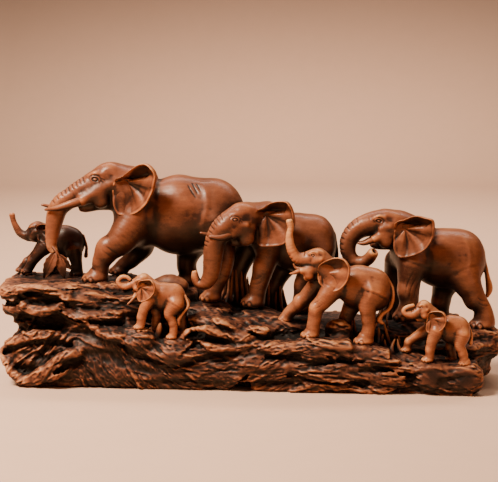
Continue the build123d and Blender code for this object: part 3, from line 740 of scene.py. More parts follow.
def sculpt_head(clay, spec):
    size = spec["size"]
    mid_y = spec["mid_y"]
    centre, radii = spec["skull"]
    ex, ey, ez = spec["eye"]
    # The skull has two lobes on top.
    clay.add(egg(centre, radii), 5 * size)
    for side in (-1, 1):
        lobe = (centre[0] - 0.05 * radii[0], centre[1] + side * 0.42 * radii[1], centre[2] + 0.45 * radii[2])
        clay.add(egg(lobe, (0.62 * radii[0], 0.5 * radii[1], 0.58 * radii[2])), 3 * size)
    clay.add(limb(spec["jaw"]), 2.6 * size)
    clay.add(limb(spec["trunk"], relief=rings(4.4 * size, 0.26 * size, 16 * size)), 4 * size)
    notches(clay, spec["trunk"], size, *spec["notches"])
    # Each side has a cheek and its bone, a brow, an eye, and hollows behind and below the eye.
    cheek, cheek_radii = spec["cheek"]
    for side in (-1, 1):
        def placed(point, side=side):
            return mirrored(point, mid_y) if side > 0 else tuple(point)
        clay.add(egg(placed(cheek), cheek_radii), 4.5 * size)
        bone = [placed((ex + 2 * size, ey + 0.5 * size, ez - 9 * size, 2.2 * size)),
                placed((ex + 11 * size, ey + 0.5 * size, ez - 6 * size, 3.0 * size))]
        clay.add(limb(bone), 5.0 * size)
        brow = [placed((ex - 5 * size, ey + 1.9 * size, ez + 2.5 * size, 1.6 * size)),
                placed((ex + 0 * size, ey + 1.2 * size, ez + 5.0 * size, 2.1 * size)),
                placed((ex + 6 * size, ey + 1.9 * size, ez + 3.5 * size, 1.6 * size))]
        clay.add(limb(brow), 3.0 * size)
        at = placed((ex, ey, ez))
        reach = 6.5 * size
        near_y, far_y = sorted((at[1] + side * 9 * size, at[1] - side * 7 * size))
        clay.emboss((ex - reach * 1.4, near_y, ez - reach), (ex + reach * 1.4, far_y, ez + reach),
                    eye_relief(at, size))
        temple = placed((ex + 11.5 * size, ey, ez + 2.5 * size))
        dent(clay, temple, 7 * size, 0.9 * size)
        under = placed((ex - 2 * size, ey, ez - 7.5 * size))
        dent(clay, under, 5.5 * size, 0.5 * size)
    # A wrinkled sheath grips the root of each tusk.
    for points in spec["tusks"].values():
        start, after = np.array(points[0], float), np.array(points[1], float)
        end = start + 0.8 * (after - start)
        root = start - 0.55 * (after - start)
        sheath = [(*root[:3], start[3] + 2.6 * size), (*start[:3], start[3] + 2.0 * size),
                  (*end[:3], after[3] + 1.2 * size)]
        clay.add(limb(sheath, relief=rings(2.2 * size, 0.35 * size)), 3.6 * size)
    # The tip of the trunk is hollow.
    tip, before = np.array(spec["trunk"][-1]), np.array(spec["trunk"][-2])
    way = (tip[:3] - before[:3]) / np.linalg.norm(tip[:3] - before[:3])
    mouth = tip[:3] + way * tip[3]
    clay.cut(egg(mouth, (0.62 * tip[3],) * 3), 0.3 * size)


def dent(clay, centre, reach, depth):
    """Presses a smooth round hollow into the clay."""
    def relief(x, y, z):
        gap = ((x - centre[0])**2 + (y - centre[1])**2 + (z - centre[2])**2) / reach**2
        return -depth * np.clip(1 - gap, 0, 1)**2
    clay.emboss(np.subtract(centre, reach), np.add(centre, reach), relief)


# ----------------------------------------------------------------------------------------------
# Ears: a cupped plate worked flat, u back from its root, v up, w out from the head.
# ----------------------------------------------------------------------------------------------

EAR_FLARE = math.radians(23.0)
FAR_EAR_DROP = 0.20              # the far ear hangs lower, by this share of the space between the ears
FAR_EAR_LEAD = 0.10              # and sits further forward, by this share
FAR_EAR_SCALE = 0.88             # and is smaller, so that the near side hides it


def sculpt_ear(ear, size, hub, scale):
    """An ear worked flat: cupped, pleated from its hub, and rolled over along the top of its rim."""
    outline = np.array(ear["outline"], float) * scale
    wrapped = np.vstack([outline[-2:], outline, outline[:3]])
    rim = np.array(curve_flat(wrapped))[2 * FLAT_PARTS:][:len(outline) * FLAT_PARTS]
    low = np.array([*rim.min(axis=0), -5 * size]) - 3.0
    high = np.array([*rim.max(axis=0), 9 * size]) + 3.0
    step = 0.42 * (0.75 if size < 0.5 else 1.0) * FINE
    clay = Clay(low, high, step)
    part, u, v, w = clay.window(low, high)
    edge = polygon_distance(rim, u[:, :, 0] + 0 * v[:, :, 0], v[:, :, 0] + 0 * u[:, :, 0])
    hub = np.array(hub, float) * scale
    # Each spot by its distance and direction from the hub, and its share of the way to the rim.
    du, dv = u[:, :, 0] - hub[0], v[:, :, 0] - hub[1]
    gap = np.sqrt(du**2 + dv**2)
    turn = np.degrees(np.arctan2(dv, du))
    reach = np.clip(gap / (gap - edge + 1e-6), 0, 1.2)
    # The cup, pleats that run out from the hub over its lower part, and fine ribs all over.
    cup = 4.2 * size * reach**1.7
    lower = np.clip((35 - turn) / 30, 0, 1)
    pleat = 0.6 * np.sin(np.radians(turn) * 6.2 + 0.9 * reach + 0.35)
    pleat = pleat + 0.4 * np.sin(np.radians(turn) * 3.3 + 1.1)
    folds = 1.9 * size * pleat * lower * np.clip(gap / (13 * size), 0, 1)**1.3
    folds = folds * np.clip((1.06 - reach) * 3.2, 0, 1)
    fine = 0.22 * size * np.sin(np.radians(turn) * 15 + 1.7 * reach) * np.clip(gap / (14 * size), 0, 1)
    # The top of the rim rolls over, with a hollow inside it; a ridge stands at the front.
    upper = np.clip((turn + 8) / 30, 0, 1) * np.clip((178 - turn) / 22, 0, 1)
    roll = np.clip((reach - 0.72) / 0.28, 0, 1)
    roll = (0.5 + 4.8 * upper) * size * roll**1.6
    hollow = -4.0 * size * upper * np.exp(-((reach - 0.60) / 0.17)**2)
    front = 1.2 * size * np.exp(-((du + 2.5 * size) / (3.6 * size))**2)
    front = front * np.clip((3 * size - dv) / (8 * size), 0, 1)
    folds = folds + fine + front
    surface = (cup + folds + roll + hollow)[:, :, None] - 2.6 * size
    # A plate of even thickness along that surface, a little thicker along its rim.
    bead = np.exp(-((edge + 1.3 * size) / (1.1 * size))**2)[:, :, None]
    thick = (0.95 + 0.35 * bead) * (0.55 + 0.45 * size)
    slope_u, slope_v = np.gradient(surface[:, :, 0], step)
    tilt = np.sqrt(1 + np.minimum(slope_u**2 + slope_v**2, 1.5))[:, :, None]
    tall = np.abs(w - surface) / tilt - thick
    flat = edge[:, :, None] + 0.9 * size
    outside = np.sqrt(np.maximum(flat, 0)**2 + np.maximum(tall, 0)**2)
    clay.field[part] = np.minimum(np.maximum(flat, tall), 0) + outside - 0.75 * size
    return clay


def ear_frame(ear, side):
    """Root and the u, v, w directions of an ear; side is -1 on the show side."""
    x, y, z = ear["root"]
    if side > 0:
        spread = 2 * (ear["mid_y"] - y)
        x, y, z = x - FAR_EAR_LEAD * spread, y + spread, z - FAR_EAR_DROP * spread
    back = np.array((math.cos(EAR_FLARE), side * math.sin(EAR_FLARE), 0.0))
    out = np.array((-math.sin(EAR_FLARE), side * math.cos(EAR_FLARE), 0.0))
    return np.array((x, y, z), float), back, np.array((0.0, 0.0, 1.0)), out


# ----------------------------------------------------------------------------------------------
# From clay to mesh
# ----------------------------------------------------------------------------------------------


def surface_of(clay):
    """Vertices and faces of the carved surface, in the clay's own axes."""
    grid = vdb.FloatGrid(FAR)
    grid.copyFromArray(np.ascontiguousarray(clay.field))
    grid.transform = vdb.createLinearTransform(voxelSize=clay.step)
    points, _, quads = grid.convertToPolygons(isovalue=0.0, adaptivity=0.0)
    points = points.astype(float) + clay.low
    faces = np.asarray(quads, np.int64)
    a, b, c, d = (points[faces[:, i]] for i in range(4))
    volume = np.einsum("ij,ij->i", a, np.cross(b, c) + np.cross(c, d)).sum()
    if volume < 0:
        faces = faces[:, ::-1]
    return points, faces


def smooth(mesh):
    mesh.polygons.foreach_set("use_smooth", np.ones(len(mesh.polygons), bool))


def piece_from(name, points, faces):
    """A smooth-shaded mesh object from millimetre points."""
    mesh = bpy.data.meshes.new(name)
    mesh.from_pydata((points * MM).tolist(), [], faces)
    mesh.update()
    piece = bpy.data.objects.new(name, mesh)
    bpy.context.collection.objects.link(piece)
    smooth(mesh)
    return piece


def drop_chips(piece):
    """Keeps only the largest connected part of a piece."""
    bpy.ops.object.select_all(action="DESELECT")
    piece.select_set(True)
    bpy.context.view_layer.objects.active = piece
    bpy.ops.mesh.separate(type="LOOSE")
    parts = list(bpy.context.selected_objects)
    main = max(parts, key=lambda part: len(part.data.vertices))
    name = piece.name
    mesh_name = piece.data.name
    for part in parts:
        if part is not main:
            mesh = part.data
            bpy.data.objects.remove(part)
            bpy.data.meshes.remove(mesh)
    main.name = name
    main.data.name = mesh_name
    return main


def lighten(piece, keep):
    """Merges faces where the surface is smooth, down to this share of them."""
    modifier = piece.modifiers.new("lighten", "DECIMATE")
    modifier.ratio = keep
    depsgraph = bpy.context.evaluated_depsgraph_get()
    lighter = bpy.data.meshes.new_from_object(piece.evaluated_get(depsgraph))
    piece.modifiers.clear()
    old = piece.data
    name = old.name
    piece.data = lighter
    bpy.data.meshes.remove(old)
    lighter.name = name
    smooth(lighter)


# How hollows and rises are read off the clay, for the dark wax and painted shade in hollows and the
# wear and painted highlight on edges: (reach, depth that counts as full, weight as a hollow,
# weight as a worn edge, rise below which nothing is worn).
BODY_SCALES = [(0.9, 0.20, 0.50, 0.24, 0.35), (2.6, 0.75, 0.50, 0.34, 0.45), (6.0, 2.2, 0.30, 0.40, 0.35)]
EAR_SCALES = [(0.7, 0.14, 0.55, 0.26, 0.5), (2.0, 0.60, 0.75, 0.16, 0.9)]
BASE_SCALES = [(0.9, 0.22, 0.30, 0.24, 0.3), (2.4, 0.75, 0.42, 0.30, 0.4), (6.0, 2.2, 0.62, 0.46, 0.25)]


def box_blur(volume, reach):
    """Mean over a cube of 2 reach + 1 voxels, axis by axis."""
    for axis in range(3):
        padded = np.concatenate([np.repeat(volume.take([0], axis), reach + 1, axis), volume,
                                 np.repeat(volume.take([-1], axis), reach, axis)], axis)
        total = np.cumsum(padded, axis=axis, dtype=np.float32)
        count = volume.shape[axis]
        upper = total.take(np.arange(2 * reach + 1, 2 * reach + 1 + count), axis)
        volume = (upper - total.take(np.arange(count), axis)) / (2 * reach + 1)
    return volume


def sample(volume, low, step, points):
    """Trilinear values of a voxel block at millimetre points."""
    place = (points - low) / step
    place = np.clip(place, 0, np.array(volume.shape) - 1.001)
    base = np.floor(place).astype(int)
    share = place - base
    value = 0
    for corner in range(8):
        i, j, k = corner >> 2 & 1, corner >> 1 & 1, corner & 1
        weight = (share[:, 0] if i else 1 - share[:, 0]) * (share[:, 1] if j else 1 - share[:, 1])
        weight = weight * (share[:, 2] if k else 1 - share[:, 2])
        value = value + weight * volume[base[:, 0] + i, base[:, 1] + j, base[:, 2] + k]
    return value


def vertices_of(piece):
    points = np.empty(len(piece.data.vertices) * 3, np.float32)
    normals = np.empty(len(piece.data.vertices) * 3, np.float32)
    piece.data.vertices.foreach_get("co", points)
    piece.data.vertex_normals.foreach_get("vector", normals)
    return points.reshape(-1, 3) / MM, normals.reshape(-1, 3)


def write_values(piece, name, values):
    attribute = piece.data.attributes.new(name, "FLOAT", "POINT")
    attribute.data.foreach_set("value", np.clip(values, 0, 1).astype(np.float32))


def carve_values(piece, clay, local, size, scales):
    """Writes how hollow and how proud the surface is at each vertex, for the dark wax and painted shade
    in hollows, and for the wear and painted highlight on edges.
    """
    band = np.clip(clay.field, -7, 7)
    hollow, proud = 0.0, 0.0
    for reach, depth, dark, wear_and_highlight, start in scales:
        cells = max(1, round(reach * size**0.5 / clay.step))
        rise = box_blur(box_blur(band, cells), cells) - band
        rise = sample(rise, clay.low, clay.step, local) / (depth * size**0.5)
        hollow = hollow + dark * np.maximum(-rise, 0)
        proud = proud + wear_and_highlight * np.maximum(rise - start, 0)
    write_values(piece, "crease", np.minimum(hollow, 1.6))
    write_values(piece, "edge", np.minimum(proud, 1.6))


def plain_values(piece):
    """The same values for a piece that was modelled as a mesh."""
    count = len(piece.data.vertices)
    write_values(piece, "crease", np.zeros(count))
    write_values(piece, "edge", np.full(count, 0.05))


# ----------------------------------------------------------------------------------------------
# The base: rock ledges, roots and curled bark
# ----------------------------------------------------------------------------------------------

# Ledges from the table up: (underside, top, corners seen from above).
LEDGES = [
    (-4, 10, [(-178, -16), (-150, -24), (-100, -27), (-10, -30), (60, -38), (128, -46), (186, -55),
              (191, -30), (196, 5), (199, 40), (150, 50), (20, 53), (-100, 52), (-170, 44), (-178, 5)]),
    (8, 25, [(-196, -34), (-178, -44), (-90, -50), (40, -54), (188, -56), (191, -25), (205, 0),
             (206, 42), (150, 53), (20, 56), (-100, 55), (-180, 47), (-190, 0)]),
    (25, 36, [(-198, -30), (-190, -40), (-150, -46), (-20, -52), (118, -56), (122, -28), (150, -30),
              (191, -26), (211, -6), (211, 40), (150, 53), (20, 55), (-100, 55), (-184, 47), (-191, 0)]),
    (34, 43, [(-193, -28), (-170, -42), (-90, -50), (-70, -38), (-40, -46), (30, -54), (86, -56),
              (90, -14), (184, -14), (209, -4), (208, 38), (150, 52), (20, 55), (-100, 54),
              (-186, 45), (-192, 0)]),
    (40, 50, [(-193, -26), (-150, -42), (-96, -48), (-88, -28), (-40, -26), (-30, -44), (20, -38),
              (44, -14), (182, -12), (182, 47), (20, 54), (-100, 54), (-186, 43), (-192, 0)]),
    (48, 57, [(-196, -24), (-150, -36), (-98, -40), (-88, -26), (-40, -24), (-30, -38), (14, -30),
              (24, -10), (10, 40), (-60, 51), (-186, 43), (-196, 0)]),
    (55, 63.5, [(-204, -26), (-150, -34), (-100, -36), (-88, -23), (-40, -20), (-26, -30), (-14, -18),
                (-6, 37), (-60, 49), (-190, 43), (-205, 0)]),
    (61, 76, [(-207, -28), (-196, -40), (-150, -44), (-104, -36), (-60, -20), (-44, 8), (-44, 40),
              (-100, 49), (-190, 45), (-208, 36), (-209, 10)]),
    (72, 83.5, [(-210, -20), (-190, -36), (-150, -36), (-104, -25), (-96, 0), (-100, 41), (-190, 44),
                (-209, 36), (-210, 10)]),
]

# Roots, ledge lips and curled bark on the show side, each a run of (x, y, z, radius), with how many
# times wider than tall they are.
LIPS = [
    # The broken log at the lower left: its rim, its underside and the flap across it.
    ([(-206, -28, 28, 3), (-198, -36, 36, 4), (-185, -41, 42, 4.5), (-170, -43, 44, 4.5),
      (-156, -43, 43.5, 4), (-146, -43, 40, 3)], 1.2),
    ([(-206, -28, 27, 3), (-202, -36, 18, 4), (-195, -40, 10, 4.5), (-185, -42, 5.5, 4.5),
      (-172, -42, 4, 4)], 1.2),
    ([(-181, -45, 6, 3), (-170, -49, 13, 4.5), (-157, -51, 22, 5.5), (-145, -51, 29, 5.5),
      (-137, -48, 31, 3.5)], 1.0),
    ([(-138, -48, 28, 3), (-146, -50, 20, 4.5), (-160, -49, 12, 5), (-174, -45, 6, 4)], 1.0),
    # The top ledge: its end, the lip over the recess and the leafy lip under it.
    ([(-208, -14, 79, 5), (-203, -28, 77, 6), (-193, -38, 78, 5.5), (-184, -42, 81, 3.5)], 1.0),
    ([(-188, -41, 81, 3), (-174, -44, 83, 3), (-160, -45, 80, 3.2), (-148, -44, 76, 3.5)], 1.6),
    ([(-190, -36, 73, 3), (-183, -43, 67, 3.6), (-173, -46, 64.5, 3.8), (-162, -46, 66, 3.6),
      (-153, -44, 70.5, 3)], 1.5),
    ([(-154, -43, 66, 3.5), (-140, -45, 63, 4), (-122, -43, 61.5, 4), (-106, -38, 60, 4)], 1.5),
    # The long ridge under the middle calf.
    ([(-131, -45, 55, 3), (-122, -49, 49, 4), (-114, -51, 46, 4), (-104, -52, 44, 4), (-94, -53, 38, 4),
      (-85, -53, 33, 4), (-70, -53, 29.5, 4), (-56, -52, 27, 4), (-44, -51, 28.5, 4)], 1.25),
    # Curled bark in the middle, and the lip inside the curl.
    ([(-45, -47, 40, 2.2), (-50, -48, 44.5, 2.4), (-46, -49, 50, 2.6), (-38, -50, 52, 2.8),
      (-28, -50, 50.5, 3), (-16, -50, 46, 3), (-6, -48, 45, 3), (4, -46, 47, 3)], 1.3),
    ([(-38, -49, 42, 2.2), (-30, -51, 38.5, 2.8), (-20, -52, 36.5, 3), (-8, -51, 37, 3),
      (0, -49, 39, 3)], 1.4),
    ([(-24, -42, 57, 3), (-14, -44, 54, 3), (-2, -46, 49, 3), (6, -45, 52, 3), (16, -44, 50, 3)], 1.4),
    # The step down to the right.
    ([(10, -50, 29, 4), (4, -51, 24, 4.5), (-4, -49, 15, 4.5), (-12, -45, 7, 4.5), (-20, -41, 2, 4)], 1.2),
    ([(20, -51, 37, 4), (36, -53, 37, 4), (50, -53.5, 38, 3.5), (62, -53.5, 38, 3.5), (70, -52, 35, 3),
      (72, -51, 30, 3), (66, -51, 27.5, 2.6)], 1.0),
    ([(36, -53, 21, 3.5), (52, -53.5, 17, 4), (76, -53.5, 15, 4), (100, -53, 14.5, 4),
      (119, -50, 13, 4)], 1.0),
    ([(78, -52, 34, 4), (92, -53, 33.5, 4), (108, -53, 28, 4), (122, -52, 23.5, 4)], 1.15),
    ([(126, -52, 23, 3.5), (145, -53, 22, 4), (168, -53, 20, 4), (189, -50, 18, 4)], 1.1),
    ([(168, -47, 8, 8), (180, -48, 8, 8), (188, -46, 9, 7)], 1.0),
    ([(112, -48, 4, 5), (119, -47, 8, 5.5), (121, -46, 14, 5)], 1.0),
    # The stacked end at the right, and the band along the foot.
    ([(190, -8, 40, 5), (201, -2, 40, 6), (206, 10, 41, 6), (206, 30, 40, 6)], 1.0),
    ([(194, -6, 26, 5), (201, 4, 25, 6), (205, 18, 25, 6), (203, 34, 25, 6)], 1.0),
    ([(192, -4, 9, 6), (198, 10, 9, 6), (199, 32, 9, 6)], 1.0),
    ([(-176, -36, 4, 6), (-120, -39, 5, 6), (-60, -41, 4.5, 6), (-14, -40, 4, 5)], 1.2),
    ([(10, -42, 5, 6), (50, -45, 6, 6), (106, -48, 5, 6)], 1.0),
    # The back, which the ledges leave in plain steps.
    ([(-182, 42, 34, 7), (-120, 48, 30, 8), (-60, 48, 36, 8), (0, 48, 28, 8)], 1.0),
    ([(20, 48, 36, 7), (80, 48, 26, 8), (140, 46, 34, 8), (190, 36, 30, 7)], 1.0),
    ([(-184, 40, 66, 6), (-120, 44, 68, 7), (-70, 40, 62, 7), (-20, 38, 50, 8), (40, 40, 40, 8)], 1.0),
]

# Sloping masses between the ledges, each (centre, radii, pitch in degrees).
MASSES = [
    ((-178, -25, 25), (26, 17, 18), -16), ((-192, -22, 26), (15, 13, 15), 0),
    ((-100, -38, 42), (28, 14, 9), 20), ((-66, -40, 32), (28, 13, 8), 8),
    ((-132, -34, 56), (22, 12, 9), 12), ((-124, -36, 18), (40, 12, 16), 0), ((-50, -38, 16), (40, 10, 13), 0),
    ((14, -42, 26), (20, 12, 8), 4), ((60, -44, 20), (40, 10, 15), 0), ((-6, -36, 48), (26, 12, 7), 6),
    ((44, -34, 34), (34, 14, 8), 4), ((-30, -30, 52), (20, 12, 8), 10), ((104, -40, 26), (26, 14, 8), 12),
    ((160, -38, 18), (30, 14, 8), 2), ((20, -14, 52), (26, 18, 9), 8), ((100, -6, 44), (70, 20, 8), 3),
    ((76, -34, 50), (12, 7, 9), 0), ((-150, -34, 74), (30, 10, 8), 6), ((170, -8, 40), (24, 16, 7), 0),
]

# Hollows: recesses carved into the show side, each (centre, radii, pitch in degrees).
HOLLOWS = [
    ((-177, -51, 29), (16, 9, 8.0), -20), ((-168, -50, 74.5), (15, 9, 4.0), 4),
    ((-104, -58, 25), (34, 10, 8), 16), ((-58, -60, 17), (30, 10, 6), 4), ((-140, -54, 42), (10, 8, 5), -40),
    ((-35, -55, 45), (12, 7, 3.2), 6), ((-14, -55, 41), (13, 6, 2.2), -4), ((-24, -56, 29), (22, 9, 5), -6),
    ((54, -59, 27), (24, 8, 2.8), 3), ((98, -59, 22), (18, 8, 2.6), 10), ((146, -60, 8), (18, 15, 11), 0),
    ((-128, -50, 70), (10, 7, 2.4), 8), ((-62, -56, 7.5), (60, 8, 2.2), 0), ((64, -58, 8.5), (44, 7, 2.2), 2),
]


def flow(x, z):
    """The way the grain of the carved rock runs on the show side, in degrees from level."""
    low = np.interp(x, (-210, -150, -138, -100, -60, -20, 10, 40, 130, 200),
                    (40, 36, -62, -48, -16, 6, 24, -4, -8, -3))
    high = np.interp(x, (-210, -120, -60, 0, 200), (-4, -10, -24, -14, -4))
    return np.where(z < 46, low, high)


def stroke(image, low, step, points, width, height):
    """Adds one gouge mark to a flat relief: a ridge that falls steeply into a cut along one side."""
    points = np.array(points, float)
    reach = 3.2 * width
    first = np.clip(np.floor((points.min(axis=0) - reach - low) / step).astype(int), 0, image.shape)
    last = np.clip(np.ceil((points.max(axis=0) + reach - low) / step).astype(int) + 1, 0, image.shape)
    if (last <= first).any():
        return
    x = (low[0] + step * np.arange(first[0], last[0]))[:, None]
    z = (low[1] + step * np.arange(first[1], last[1]))[None, :]
    best = np.full((last[0] - first[0], last[1] - first[1]), 1e6)
    value = np.zeros_like(best)
    spans = len(points) - 1
    for i, (a, b) in enumerate(zip(points[:-1], points[1:])):
        way = b - a
        along = np.clip(((x - a[0]) * way[0] + (z - a[1]) * way[1]) / (way @ way), 0, 1)
        gap_x, gap_z = x - a[0] - along * way[0], z - a[1] - along * way[1]
        gap = np.sqrt(gap_x**2 + gap_z**2)
        side = np.where(way[0] * gap_z - way[1] * gap_x > 0, gap, -gap) / width
        share = (i + along) / spans
        # The ridge falls slowly on one side, and steeply on the other, where the cut lies.
        profile = np.where(side > 0, np.exp(-side**2), np.exp(-(side / 0.45)**2))
        profile = profile - 0.75 * np.exp(-((side + 1.05) / 0.55)**2)
        here = profile * np.sqrt(np.clip(4 * share * (1 - share), 0, 1))
        value = np.where(gap < best, here, value)
        best = np.minimum(gap, best)
    image[first[0]:last[0], first[1]:last[1]] += height * value


def gouged(shape, low, step, seed, count, direction, lengths, widths, heights):
    """A flat relief of many gouge marks that follow a direction field.

    lengths, widths and heights are the least and the most of each.
    """
    rng = np.random.default_rng(seed)
    image = np.zeros(shape)
    size = np.array(shape) * step
    for _ in range(count):
        start = low + rng.uniform(0, 1, 2) * size
        length = rng.uniform(*lengths)
        bend = rng.normal(0, 14)
        heading = float(direction(start[0], start[1])) + rng.normal(0, 13)
        points = [start]
        for part in range(6):
            turn = math.radians(heading + bend * (part - 3) / 3)
            points.append(points[-1] + length / 6 * np.array((math.cos(turn), math.sin(turn))))
        width = rng.uniform(*widths)
        stroke(image, low, step, points, width, rng.uniform(*heights) * rng.choice((1.0, 1.0, -0.7)))
    return image


def blades(clay, x, y, ground, height, count, spread, seed):
    """A tuft of carved grass or root fibres that rises round a leg."""
    rng = np.random.default_rng(seed)
    for turn in np.linspace(0, 2 * math.pi, count, endpoint=False) + rng.uniform(0, 1):
        out = spread * rng.uniform(0.85, 1.2)
        lean = turn + rng.normal(0, 0.25)
        top = height * rng.uniform(0.6, 1.15)
        points = [(x + out * 1.35 * math.cos(turn), y + out * 1.35 * math.sin(turn), ground - 2, 1.7),
                  (x + out * math.cos(turn), y + out * math.sin(turn), ground + 0.3 * top, 1.6),
                  (x + out * 0.86 * math.cos(lean), y + out * 0.86 * math.sin(lean), ground + top, 0.7)]
        clay.add(limb(points, parts=3), 1.0)


BASE_MARGIN = 2.2                # room for the gouge marks inside the CAD box
BOX_GAP = 0.15                   # how far inside the CAD box the carving stops
REST_GAP = 0.02                  # and how far above its resting plane


def keep_inside(clay):
    """Cuts off whatever stands beside the whole CAD model's box, seen from above, and flattens the resting
    face.
    """
    low, high = in_mm(cad_box)
    part, x, y, z = clay.window(clay.low, clay.low + clay.step * np.array(clay.field.shape))
    outside = np.maximum(np.maximum(low[0] - x, x - high[0]) + 0 * y, np.maximum(low[1] - y, y - high[1]))
    clay.field[part] = np.maximum(clay.field[part], np.maximum(outside + BOX_GAP, REST_GAP - z))


# Lumps and grain of the rock: (size along each axis, height, seed), coarse to fine.
ROCK_GRAIN = [((20, 16, 7), 1.7, 21), ((9, 9, 4), 0.6, 22), ((3.8, 3.8, 2.6), 0.42, 23),
              ((1.9, 1.9, 1.7), 0.42, 24)]

# Tufts round the legs: (x, y, ground, height, blades, spread, seed).
TUFTS = [(-11.5, 16, 62, 30, 13, 10.5, 41), (19.5, 21, 56, 28, 12, 10.5, 42), (82, -24, 43, 12, 8, 8, 43),
         (122.5, 28, 48, 16, 9, 10, 44), (110, -20, 40, 16, 9, 9, 45), (120, -30, 34, 12, 8, 7, 46)]


def held_in(points, flatten, low, high):
    """Moves the points of a limb so that it stays between two corners, seen from above."""
    return [(np.clip(x, low[0] + radius, high[0] - radius),
             np.clip(y, low[1] + flatten * radius, high[1] - flatten * radius), z, radius)
            for x, y, z, radius in points]


def sculpt_base():
    low, high = in_mm(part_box("base_block"))
    low[2] = 0.0
    step = 0.8 * FINE
    clay = Clay(low - 2, high + 5, step)
    inner_low, inner_high = low + BASE_MARGIN, high - BASE_MARGIN
    for bottom, top, corners in LEDGES:
        clay.add(rounded_slab(np.clip(corners, inner_low[:2], inner_high[:2]), bottom, top, 4.0), 7.0)
    for centre, radii, pitch in MASSES:
        clay.add(egg(centre, radii, (pitch, 0)), 6.0)
    lips = [(held_in(points, flatten, inner_low, inner_high), flatten) for points, flatten in LIPS]
    for points, flatten in lips:
        clay.add(limb(points, parts=4, flatten=flatten), 3.4)
    for points, _ in lips:
        groove = [(x, y - 0.4 * radius, z - 1.45 * radius, 0.52 * radius)
                  for x, y, z, radius in points if z > 14]
        if len(groove) > 1:
            clay.cut(limb(groove, parts=3, flatten=1.5), 1.2)
    for centre, radii, pitch in HOLLOWS:
        clay.cut(egg(centre, radii, (pitch, 0)), 2.6)
    # A low mound under each foot.
    for spec in HERD.values():
        for points in spec["legs"].values():
            x, y, sole, radius = points[-1]
            clay.add(egg((x + 1, y + 4, sole - 11.9), (radius + 9, radius + 8, 12)), 5.0)
    # Gouge marks, drawn flat and laid on whatever faces forwards, backwards and up.
    shape = clay.field.shape
    slope = [np.gradient(clay.field, step, axis=axis) for axis in (1, 2)]
    front = np.clip(-slope[0] * 1.25, 0, 1)
    rear = np.clip(slope[0] * 1.25, 0, 1)
    level = np.clip(slope[1] * 1.1, 0, 1)
    side_low, plan_low = clay.low[[0, 2]], clay.low[[0, 1]]
    side_shape, plan_shape = (shape[0], shape[2]), (shape[0], shape[1])
    show = gouged(side_shape, side_low, step, 31, 210, flow, (14, 48), (1.3, 3.0), (0.5, 1.5))
    show += gouged(side_shape, side_low, step, 32, 2200, flow, (6, 20), (0.6, 1.2), (0.3, 0.8))
    back = gouged(side_shape, side_low, step, 33, 260, lambda x, z: -8.0, (12, 50), (1.4, 3.2), (0.5, 1.4))
    plan = gouged(plan_shape, plan_low, step, 34, 900, lambda x, y: 8 + 0.3 * y, (6, 26), (0.7, 1.8),
                  (0.2, 0.8))
    clay.field -= front * show[:, None, :] + rear * back[:, None, :] + level * plan[:, :, None]
    del front, rear, level, slope
    for cell, height, seed in ROCK_GRAIN:
        clay.roughen(cell, height, seed)
    for tuft in TUFTS:
        blades(clay, *tuft)
    # A ribbed stone behind the bull's forelegs, and two small upright leaves.
    clay.add(limb([(-78, 2, 78, 8), (-68, 0, 81, 9), (-58, -2, 80, 7)], relief=rings(3.4, 1.6)), 2.0)
    clay.add(limb([(-86, 6, 76, 7), (-94, 4, 80, 5)], relief=rings(3.0, 1.2)), 2.0)
    clay.add(egg((-72, -44, 48), (2.6, 2.0, 8), (12, 0)), 1.0)
    clay.add(egg((49, -36, 56), (3.0, 2.2, 11), (22, 0)), 1.0)
    keep_inside(clay)
    return clay


# ----------------------------------------------------------------------------------------------
# Tusks and the leaf sprig, modelled as meshes
# ----------------------------------------------------------------------------------------------


def tube(points, sides=28, flute=0.0):
    """Vertices and faces of a closed tube through (x, y, z, radius) points."""
    run = curve_through(points, 8)
    centres, radii = run[:, :3], run[:, 3]
    # Two directions square to the way at each centre, then a ring of points round it.
    ways = np.gradient(centres, axis=0)
    ways /= np.linalg.norm(ways, axis=1)[:, None]
    across = np.cross(ways, (0.0, 0.15, 1.0))
    across /= np.linalg.norm(across, axis=1)[:, None]
    other = np.cross(ways, across)
    turn = 2 * math.pi * np.arange(sides) / sides
    ripple = 1 + flute * np.sin(5 * turn)
    rows = []
    for centre, radius, a, b in zip(centres, radii, across, other):
        spoke = np.cos(turn)[:, None] * a + np.sin(turn)[:, None] * b
        rows.append(centre + radius * ripple[:, None] * spoke)
    for share in (0.75, 0.35):
        end = rows[len(centres) - 1]
        rows.append(centres[-1] + share * (end - centres[-1]) + ways[-1] * radii[-1] * (0.9 - 0.6 * share))
    points = np.vstack([*rows, centres[:1], centres[-1:] + ways[-1:] * radii[-1] * 0.9])
    faces = []
    for row in range(len(rows) - 1):
        for i in range(sides):
            j = (i + 1) % sides
            faces.append((row * sides + i, row * sides + j, (row + 1) * sides + j, (row + 1) * sides + i))
    start, tip, last = len(points) - 2, len(points) - 1, (len(rows) - 1) * sides
    for i in range(sides):
        j = (i + 1) % sides
        faces.append((start, j, i))
        faces.append((tip, last + i, last + j))
    return points, faces


